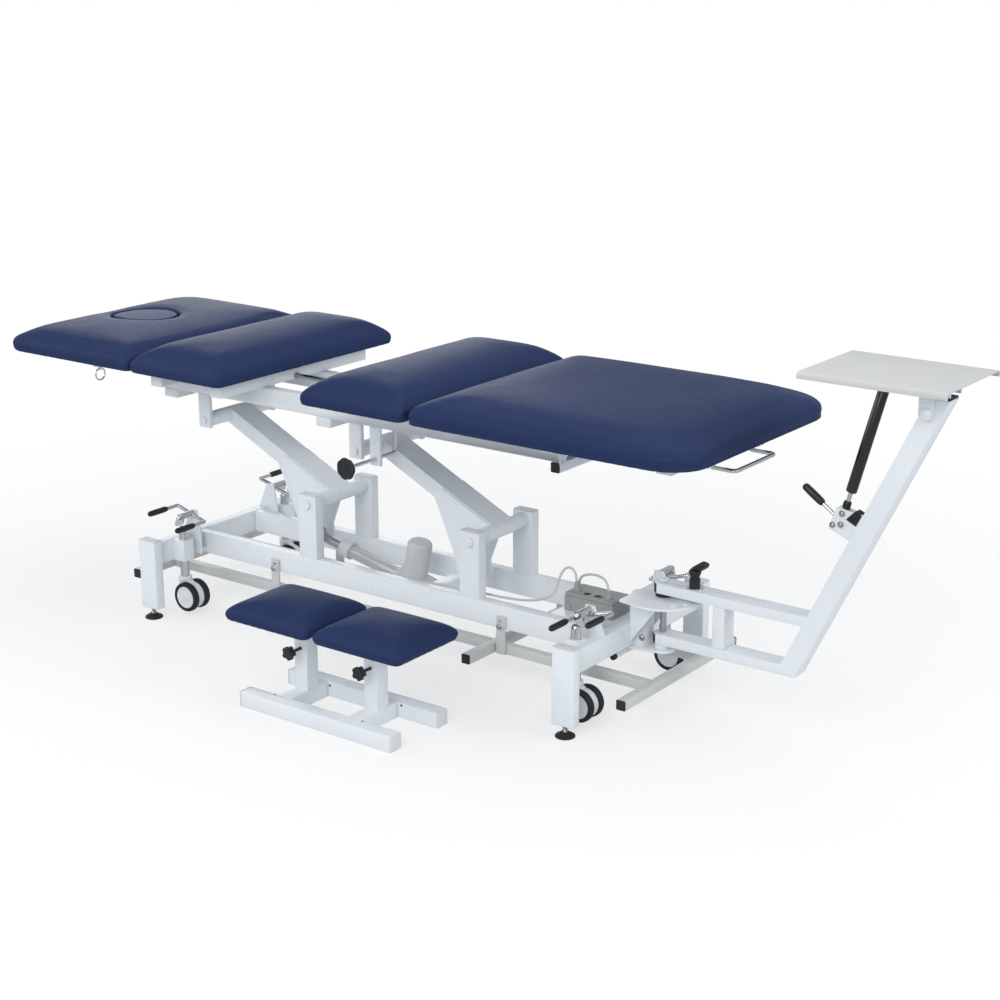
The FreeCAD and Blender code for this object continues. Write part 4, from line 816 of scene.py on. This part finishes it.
class TRACTION_OT_casters(bpy.types.Operator):
    """Tyres, wheel discs, hubs, pedals and levelling feet"""

    bl_idname = "traction.casters"
    bl_label = "Casters and feet"

    def execute(self, context):
        for tag, sx, sy in TAGS:
            self.wheels(tag, sx, sy)
            self.pedal(tag, sx, sy)
        pads, studs = bmesh.new(), bmesh.new()
        for _, sx, sy in TAGS:
            at = mm(sx * LEG[0], sy * LEG[1], 0)
            lathe(pads, [(0, 0), (0, 22.5), (1.2, 24.3), (3.5, 24.3), (5.5, 22.5), (8.5, 16), (10, 12.5), (12.2, 12),
                         (12.2, 0)], at, Z)
            thread = [(11, 0)]
            for k in range(10):
                thread += [(11.2 + 1.8 * k, 6), (12.1 + 1.8 * k, 5.3)]
            thread += [(29.8, 5.6), (29.8, 0)]
            lathe(studs, thread, at, Z, 24)
        piece("foot_pads", pads, "base", "black_rubber", ("levelling_feet",))
        piece("foot_studs", studs, "base", "steel")
        return {"FINISHED"}

    def wheels(self, tag, sx, sy):
        """Twin tyres and discs of one caster, and its yoke."""
        centre = mm(sx * 649 + 24, sy * 205, 51)
        tyres, discs = bmesh.new(), bmesh.new()
        for side in SIDES:
            base = centre + Y * (side * 0.0115)
            out = Y * side
            lathe(tyres, [(0, 30), (0, 37.5), (1.8, 39.8), (5, 40.9), (9.5, 41), (14, 40.8), (17.2, 39.6),
                          (18.8, 37.2), (19, 34.5), (18.4, 32.2), (16.8, 31), (0, 30)], base, out, 56, False)
            lathe(discs, [(1, 5.4), (1, 30.6), (16.5, 30.6), (17.6, 29.8), (17.8, 28.4), (16.6, 26.2), (15.8, 22),
                          (15.5, 12), (15.8, 10), (17.2, 9.2), (18, 8), (18.4, 5.4), (1, 5.4)], base, out, 56, False)
        for bm in (tyres, discs):
            bmesh.ops.remove_doubles(bm, verts=bm.verts, dist=1e-6)
        piece("tyres_" + tag, tyres, "wheels_" + tag, "black_rubber", ("caster_wheels_" + tag,))
        piece("discs_" + tag, discs, "wheels_" + tag, "wheel_plastic")
        softened("hub_" + tag, "caster_yoke_" + tag, 0.002, "wheel_plastic")

    def pedal(self, tag, sx, sy):
        """Bent bar with its cam and two grips; the foot-end bars hang a little lower and further out."""
        tilt = math.radians(16)
        pivot = mm(sx * 655, 0, 271)
        arm = Vector((sx * math.cos(tilt), 0, math.sin(tilt))) * 0.053
        middle = pivot + (mm(19, 0, -8) if sx > 0 else ORIGIN)
        ends = [middle - arm, middle + arm]
        line, grip, reach = (Y * (sy * far) for far in (0.166, 0.206, 0.262))
        route = [ends[0] + reach, ends[0] + line, ends[1] + line, ends[1] + reach]
        rod = bmesh.new()
        append_mesh(rod, path_mesh(tight_bends(route, 0.010), 0.0055, "pedal_line"))
        lathe(rod, [(0, 5.1), (0, 8.2), (0.8, 9), (50.9, 9), (51.7, 8.2), (51.7, 5.1)],
              pivot + Y * (sy * 0.1583), Y * sy, closed=False)
        shape = []
        turns = [(-90 + 4 * i, 0.0234 + 0.00122 * i) for i in range(9)]
        turns += [(-50, 0.032), (-20, 0.014), (60, 0.009), (150, 0.009), (-140, 0.012), (-110, 0.020)]
        for degrees, r in turns:
            a = math.radians(degrees)
            shape.append(pivot + Vector((sx * r * math.cos(a), sy * 0.201, r * math.sin(a))))
        cam = bmesh.new()
        prism(cam, shape, Y * (sy * 0.009))
        append_mesh(rod, to_mesh(cam, "cam"))
        piece("pedal_bar_" + tag, rod, "rocker_" + tag, "chrome", ("pedal_" + tag,))
        grips = bmesh.new()
        for end in ends:
            barrel(grips, end + grip, Y * sy, 70, 8.2)
        piece("pedal_grips_" + tag, grips, "rocker_" + tag, "black_plastic")


class TRACTION_OT_drive(bpy.types.Operator):
    """Lift motor, control box and their leads"""

    bl_idname = "traction.drive"
    bl_label = "Drive and control"

    def execute(self, context):
        softened("drive_housing", "actuator_body", 0.004, "motor_plastic")
        start, along = mm(-335, 0, 227), mm(405, 0, -85)
        tube = turned([(122.2, 18), (122.2, 18.3), (291.5, 18.3), (291.5, 18)], start, along, 48, False)
        piece("drive_tube", tube, "actuator", "tube_metal")
        self.box()
        lead = bmesh.new()
        for route in (
            ((48, -27.5, 160), (48, -62, 160), (82, -62, 203), (478, -62, 203), (478, -15, 304), (523, -15, 304),
             (523, -15, 262)),
            ((617, -15, 256), (617, -15, 292), (552, 14, 292), (494, 30, 266), (494, 60, 203), (494, 98.5, 203)),
        ):
            append_mesh(lead, path_mesh([mm(*p) for p in route], sizes().lead, "lead_line", steps=24))
        piece("leads", lead, "base", "motor_plastic", ("control_leads",))
        return {"FINISHED"}

    def box(self):
        """Control box with its lid, feet, two plugs and four sockets; the two open sockets get near-black discs of
        painted shade.
        """
        bm = bmesh.new()
        slab(bm, mm(500, -35, 200), mm(640, 45, 238))
        slab(bm, mm(501.5, -33.5, 239), mm(638.5, 43.5, 246))
        slab(bm, mm(502.5, -32.5, 237), mm(637.5, 42.5, 240))
        for x in (512, 628):
            slab(bm, mm(x - 7, -37, 203), mm(x + 7, -34, 216))
        for x, top in ((523, 16), (617, 10)):
            lathe(bm, [(0, 0), (0, 10), (6, 9.8), (7, 8.8), (top - 1, 7.6), (top, 6.6), (top + 4, 5.8),
                       (top + 12, 4.2), (top + 12.5, 0)], mm(x, -15, 246), Z, 28)
        piece("control_housing", bm, "base", "grey_plastic", ("control_box",))
        rim = turned([(0, 12.5), (1.2, 12.2), (1.5, 11.2), (1.2, 10), (0, 9.8), (0, 12.5)], ORIGIN, Z, 32, False)
        bmesh.ops.remove_doubles(rim, verts=rim.verts, dist=1e-6)
        spots = [(mm(x, -15, 246), Z) for x in (523, 554, 586, 617)]
        placed("socket_rims", rim, spots, "base", "grey_plastic")
        # Painted shade: near-black discs in the two open sockets stand for the dark inside them.
        placed("socket_wells", shade_disc_shape(9.5), [spots[1], spots[2]], "base", "dark_bore")


class TRACTION_OT_arm(bpy.types.Operator):
    """Plunger, platform, gas spring and release lever of the swing arm"""

    bl_idname = "traction.arm"
    bl_label = "Swing arm fittings"

    def execute(self, context):
        knob = turned([(343.4, 0), (343.4, 11), (345.5, 11.6), (347.5, 10.8), (350, 12.2), (357, 14.8), (360.5, 15),
                       (363.5, 13.6), (364.2, 0)], PLUNGER, Z)
        tilt = Vector((math.cos(math.radians(35)), 0, math.sin(math.radians(35))))
        barrel(knob, mm(840, 0, 359.5), tilt, 45, 8.5)
        piece("plunger_knob", knob, "plunger", "black_plastic", ("index_plunger",))
        pin = turned([(283.4, 0), (283.4, 5), (284.6, 6), (343.3, 6), (343.3, 0)], PLUNGER, Z, 28)
        piece("plunger_pin", pin, "plunger", "steel")
        self.fittings()
        self.lugs()
        self.tray()
        self.post_plug()
        self.gas_spring()
        along = mm(1121, 0, 621) - LEVER
        length = along.length * 1000
        lever = turned([(4, 0), (4, 4.4), (length * 0.56, 4.4), (length * 0.56, 0)], LEVER, along, 28)
        lathe(lever, [(0, 4.1), (0, 8.4), (0.6, 9), (10.8, 9), (11.4, 8.4), (11.4, 4.1)], LEVER - Y * 0.0057, Y)
        piece("lever_bar", lever, "lever", "chrome", ("release_lever",))
        grip = bmesh.new()
        barrel(grip, LEVER + along * 0.5, along, length * 0.5, 9.2)
        piece("lever_grip", grip, "lever", "black_plastic")
        return {"FINISHED"}

    def gas_spring(self):
        """Tube with its sleeve and collar, and the boot on the rod."""
        softened("gas_tube", "gas_body", 0.0015, "black_enamel")
        for name, profile, steps, closed, body, coat in (
            ("gas_sleeve", [(51.6, 5.8), (51.6, 11.2), (53.6, 12.6), (298.5, 12.6), (300.4, 11.4), (300.4, 5.8)],
             48, False, "gas_cylinder", "black_enamel"),
            ("gas_collar", [(300, 6), (300, 11.2), (303, 11.3), (305, 10), (306, 6)],
             40, True, "gas_cylinder", "steel"),
            ("gas_boot", [(11, 5.2), (11, 8.5), (13, 9.2), (24, 9.2), (27, 8), (29, 5.2)],
             40, False, "gas_ram", "black_plastic"),
        ):
            piece(name, turned(profile, GAS_LOW, GAS_UP - GAS_LOW, steps, closed), body, coat)

    def fittings(self):
        """Plunger barrel on a plated washer, hinge pin with its domes, and the screws of the gas-spring plates."""
        whole = clean_copy("swing_fittings")
        for name, keep, coat in (("plunger_barrel", lambda x: x < 0.95, "black_plastic"),
                                 ("hinge_bolt", lambda x: x > 1.35, "steel")):
            bm = whole.copy()
            for group in islands(bm):
                if not keep(sum(v.co.x for v in group) / len(group)):
                    bmesh.ops.delete(bm, geom=group, context="VERTS")
            round_edges(bm, 0.0010)
            if name == "hinge_bolt":
                self.thin_pin(bm)
            piece(name, bm, "swing_arm", coat)
        whole.free()
        washer = turned([(0, 13.2), (0, 21.4), (2.8, 21.4), (3.4, 20.6), (3.4, 13.2)], PLUNGER + Z * 0.319, Z,
                        48, False)
        piece("plunger_washer", washer, "swing_arm", "chrome")
        dome = turned([(0, 0), (0, 14), (2, 14), (4, 13), (5.8, 10.8), (7, 7.5), (7.7, 3.8), (7.9, 0)], ORIGIN, Z, 36)
        placed("hinge_domes", dome, both_sides(HINGE + Y * 0.0318), "swing_arm", "powder_coat")
        bolts = both_sides(GAS_LOW + Y * 0.014, LEVER + Y * 0.014, mm(1201, 11, 544))
        placed("lug_bolts", bolt_shape(5.6, 4), bolts, "swing_arm", "steel")

    def lugs(self):
        """Tilted plates that hold the gas spring and its lever, with a rubber stop against the post."""
        plates = bmesh.new()
        plate = ((1191, 535), (1247, 513), (1277, 577), (1209, 587))
        for side in SIDES:
            prism(plates, [mm(x, side * 6, z) for x, z in plate], Y * (side * 0.005))
        for pivot in (GAS_LOW, LEVER):
            lathe(plates, [(0, 0), (0, 6.4), (0.6, 7), (3, 7), (3, 4), (25, 4), (25, 7), (27.4, 7), (28, 6.4),
                           (28, 0)], pivot - Y * 0.014, Y)
        piece("gas_lugs", plates, "swing_arm", "powder_coat", ("swing_fittings",))
        stop = bmesh.new()
        prism(stop, [mm(x, -13, z) for x, z in ((1234, 563), (1254, 584), (1271, 577), (1258, 551))], Y * 0.026)
        piece("gas_stop", stop, "swing_arm", "black_rubber")

    def tray(self):
        """The folded platform sheet with a lip along each side, and the tabs under it."""
        sheet = bmesh.new()
        outer = [(-138, 896), (-138, 902), (-137.3, 905.4), (-135.4, 908.4), (-132.4, 910.3), (-129, 911)]
        inner = [(-129, 908), (-131.3, 907.5), (-133.2, 906.2), (-134.5, 904.3), (-135, 902), (-135, 896)]
        section = outer + [(-y, z) for y, z in outer[::-1]] + [(-y, z) for y, z in inner[::-1]] + inner
        prism(sheet, [mm(1160, y, z) for y, z in section], X * 0.343)
        piece("platform_coat", sheet, "traction_platform", "tray_coat", ("platform",))
        tabs = bmesh.new()
        tab = ((1395, 908), (1395, 829), (1399, 821), (1407, 816.5), (1417, 816.5), (1425, 821), (1429, 829),
               (1429, 875), (1464, 875), (1464, 908))
        for side in SIDES:
            prism(tabs, [mm(x, side * 25.3, z) for x, z in tab], Y * (side * 0.006))
            slab(tabs, mm(1292, side * 8.8 - 2.5, 876), mm(1320, side * 8.8 + 2.5, 908))
        lathe(tabs, [(0, 0), (0, 4), (16, 4), (16, 0)], GAS_UP - Y * 0.008, Y)
        made = bored(tabs, HINGE - Y * 0.06, Y, 120, 5.3)
        piece("platform_tabs", made, "traction_platform", "powder_coat")

    def post_plug(self):
        """Black slab across the open top of the post, in the gap under the tab's flange."""
        plug = bmesh.new()
        slab(plug, mm(1415.5, -23, 865.8), mm(1460.5, 23, 871))
        piece("post_plug", plug, "swing_arm", "black_plastic")

    def thin_pin(self, bm):
        """Keep the hinge pin clear of the tabs that turn round it."""
        pin = 0.006
        for v in bm.verts:
            off = v.co - HINGE
            off.y = 0
            if off.length < pin:
                v.co -= off * 0.06


class TRACTION_OT_knobs(bpy.types.Operator):
    """Fluted lock knob and the two stool knobs"""

    bl_idname = "traction.knobs"
    bl_label = "Knobs"

    def execute(self, context):
        for side in ("left", "right"):
            node = "stool_knob_" + side
            softened(node + "_moulding", node, 0.003, "black_plastic", 50)
        self.wheel()
        return {"FINISHED"}

    def wheel(self):
        """The lock knob: a dished hand wheel with seven shallow flutes."""
        low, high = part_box("lock_knob")
        most = (high.z - low.z) / 2
        middle = (low + high) / 2
        deep = high.y - low.y
        bm = bmesh.new()
        rows = ((0, 0.30, 0), (0, 0.42, 0), (0.16, 0.46, 0), (0.42, 0.62, 0.1), (0.58, 0.84, 0.6), (0.66, 0.95, 1),
                (0.80, 0.99, 1), (0.92, 0.99, 1), (0.98, 0.95, 0.9), (1.0, 0.90, 0.7), (0.985, 0.85, 0.4),
                (0.955, 0.80, 0), (0.955, 0.40, 0), (0.985, 0.34, 0), (0.985, 0.12, 0))
        rings, count, flutes = [], 112, 7
        for along, reach, flute in rows:
            ring = []
            for a in around(count):
                r = most * reach * (1 - 0.07 * flute * (0.5 - 0.5 * math.cos(flutes * a)) ** 2)
                at = (middle.x + r * math.cos(a), high.y - deep * along, middle.z + r * math.sin(a))
                ring.append(bm.verts.new(at))
            rings.append(ring)
        bridged(bm, rings)
        piece("lock_knob_moulding", bm, "lock", "black_plastic", ("lock_knob",), 40)


class TRACTION_OT_trim(bpy.types.Operator):
    """End caps, screws, and painted shade in the vent holes"""

    bl_idname = "traction.trim"
    bl_label = "Trim"

    def execute(self, context):
        tops = [(mm(sx * LEG[0], sy * LEG[1], 222), Z) for _, sx, sy in TAGS]
        tops += [(mm(x, sy * 114, 381), Z) for x in (-260, 276) for sy in SIDES]
        placed("leg_caps", cap_shape(60, 30, 2.4), tops, "base", "cap_plastic")
        ends = both_sides(mm(-781, 258, 97), mm(346, 236, 97), mm(811, 257, 97))
        placed("bar_caps", cap_shape(25, 25, 3.0), ends, "foot_switch", "black_plastic")
        tie = both_sides(mm(535.5, 131, 592.5))
        placed("tie_caps", cap_shape(25, 25, 3.0), tie, "top", "black_plastic")
        rails = [(mm(x, y, 20), X * side) for x, side in ((-56, -1), (412, 1)) for y in (-594, -420)]
        placed("stool_caps", cap_shape(40, 40, 2.4), rails, "stool", "cap_plastic")
        screws = both_sides(mm(-377, 141, 160), mm(377, 141, 160), mm(733, 46, 182))
        placed("hanger_screws", bolt_shape(6.2, 4), screws, "base", "steel")
        noses = bmesh.new()
        nose = ((744.4, -14.6), (755.2, -25.5), (757.5, -25.5), (757.5, 25.5), (755.2, 25.5), (744.4, 14.6))
        for z in (294, 165):
            prism(noses, [mm(x, y, z + 0.6) for x, y in nose], Z * 0.0238)
        piece("nose_caps", noses, "swing_arm", "black_plastic")
        self.pivots()
        # Painted shade: near-black discs on the stool rails stand for the dark inside the vent holes.
        vent_shade_spots = [(mm(25, -579, 40), Z), (mm(302, -579, 40), Z), (mm(80, -440, 30), -Y), (mm(306, -440, 33), -Y)]
        placed("stool_vents", shade_disc_shape(3.2), vent_shade_spots, "stool", "dark_bore")
        return {"FINISHED"}

    def pivots(self):
        """Sleeve and bush on the swing pin, caps on the step bar."""
        sleeve = turned([(190.5, 7.1), (190.5, 8), (276.5, 8), (276.5, 7.1)], SWING, Z, 32)
        black = turned([(283.2, 20.2), (283.6, 20.6), (293.2, 20.6), (293.6, 20.2)], SWING, Z, 48)
        for side in SIDES:
            lathe(black, [(0, 7.2), (0, 8.2), (9, 8.2), (11, 7), (11.8, 3.5), (11.8, 0)],
                  mm(685, side * 90, 137), Y * side, 32)
        piece("pin_sleeve", sleeve, "base", "steel")
        piece("pivot_bush", black, "base", "black_plastic")


class TRACTION_OT_stage(bpy.types.Operator):
    """Pale floor, soft studio light and the camera"""

    bl_idname = "traction.stage"
    bl_label = "Stage"

    def execute(self, context):
        scene = context.scene
        mesh = bpy.data.meshes.new("floor")
        mesh.from_pydata([(-40, -40, 0), (40, -40, 0), (40, 60, 0), (-40, 60, 0)], [], [(0, 1, 2, 3)])
        floor = linked("floor", mesh)
        mesh.materials.append(self.ground())
        for name, (at, aim, power, size) in LAMPS.items():
            obj = linked(name, put(bpy.data.lights.new(name, "AREA"), energy=power, size=size))
            obj.location = at
            obj.rotation_euler = (Vector(aim) - Vector(at)).to_track_quat("-Z", "Y").to_euler()
        self.sky(scene)
        place, azimuth, elevation, focus = CAMERA
        camera = linked("camera", put(bpy.data.cameras.new("camera"), lens=focus, sensor_width=36))
        az, el = math.radians(azimuth), math.radians(elevation)
        back = Vector((math.sin(az) * math.cos(el), -math.cos(az) * math.cos(el), math.sin(el)))
        camera.location = place
        camera.rotation_euler = (-back).to_track_quat("-Z", "Y").to_euler()
        scene.camera = camera
        scene.view_settings.view_transform = "Standard"
        return {"FINISHED"}

    def ground(self):
        """Matt floor that fades out away from the table."""
        material, tree, shader = new_material("ground")
        feed(shader, {"Base Color": (0.93, 0.93, 0.93, 1), "Roughness": 0.9, "Specular IOR Level": 0.1})
        place = add(tree, "ShaderNodeTexCoord")
        reach = add(tree, "ShaderNodeVectorMath", operation="LENGTH")
        fade = add(tree, "ShaderNodeMapRange", {"From Min": 1.3, "From Max": 2.6, "To Min": 0.6},
                   interpolation_type="SMOOTHSTEP")
        clear = add(tree, "ShaderNodeBsdfTransparent")
        mix = add(tree, "ShaderNodeMixShader")
        wire(tree, (place, "Object", reach, 0), (reach, "Value", fade, "Value"), (fade, "Result", mix, "Fac"),
             (shader, "BSDF", mix, 1), (clear, "BSDF", mix, 2),
             (mix, "Shader", tree.nodes["Material Output"], "Surface"))
        return material

    def sky(self, scene):
        """Cool ambient light, white where the camera sees it."""
        world = bpy.data.worlds.new("studio")
        scene.world = world
        world.use_nodes = True
        tree = world.node_tree
        ambient = tree.nodes["Background"]
        feed(ambient, {"Color": (0.92, 0.96, 1.0, 1), "Strength": 0.56})
        seen = add(tree, "ShaderNodeBackground", {"Color": (1, 1, 1, 1), "Strength": 1.0})
        path = add(tree, "ShaderNodeLightPath")
        mix = add(tree, "ShaderNodeMixShader")
        wire(tree, (path, "Is Camera Ray", mix, "Fac"), (ambient, "Background", mix, 1),
             (seen, "Background", mix, 2), (mix, "Shader", tree.nodes["World Output"], "Surface"))


STEPS = (TRACTION_OT_frame, TRACTION_OT_cushions, TRACTION_OT_casters, TRACTION_OT_drive, TRACTION_OT_arm,
         TRACTION_OT_knobs, TRACTION_OT_trim, TRACTION_OT_stage)


class TRACTION_PT_panel(bpy.types.Panel):
    """Lists the build steps"""

    bl_idname = "TRACTION_PT_panel"
    bl_label = "Traction table"
    bl_space_type = "VIEW_3D"
    bl_region_type = "UI"
    bl_category = "Traction table"

    def draw(self, context):
        for step in STEPS:
            self.layout.operator(step.bl_idname)
        for group in (sizes(), colours()):
            for name in group.__annotations__:
                self.layout.prop(group, name)


CLASSES = (TractionSizes, TractionColours) + STEPS + (TRACTION_PT_panel,)


def register():
    for each in CLASSES:
        bpy.utils.register_class(each)
    bpy.types.Scene.traction_sizes = bpy.props.PointerProperty(type=TractionSizes)
    bpy.types.Scene.traction_colours = bpy.props.PointerProperty(type=TractionColours)


def unregister():
    del bpy.types.Scene.traction_colours
    del bpy.types.Scene.traction_sizes
    for each in reversed(CLASSES):
        bpy.utils.unregister_class(each)


def main():
    register()
    bpy.ops.traction.frame()
    bpy.ops.traction.cushions()
    bpy.ops.traction.casters()
    bpy.ops.traction.drive()
    bpy.ops.traction.arm()
    bpy.ops.traction.knobs()
    bpy.ops.traction.trim()
    bpy.ops.traction.stage()


if __name__ == "__main__":
    main()
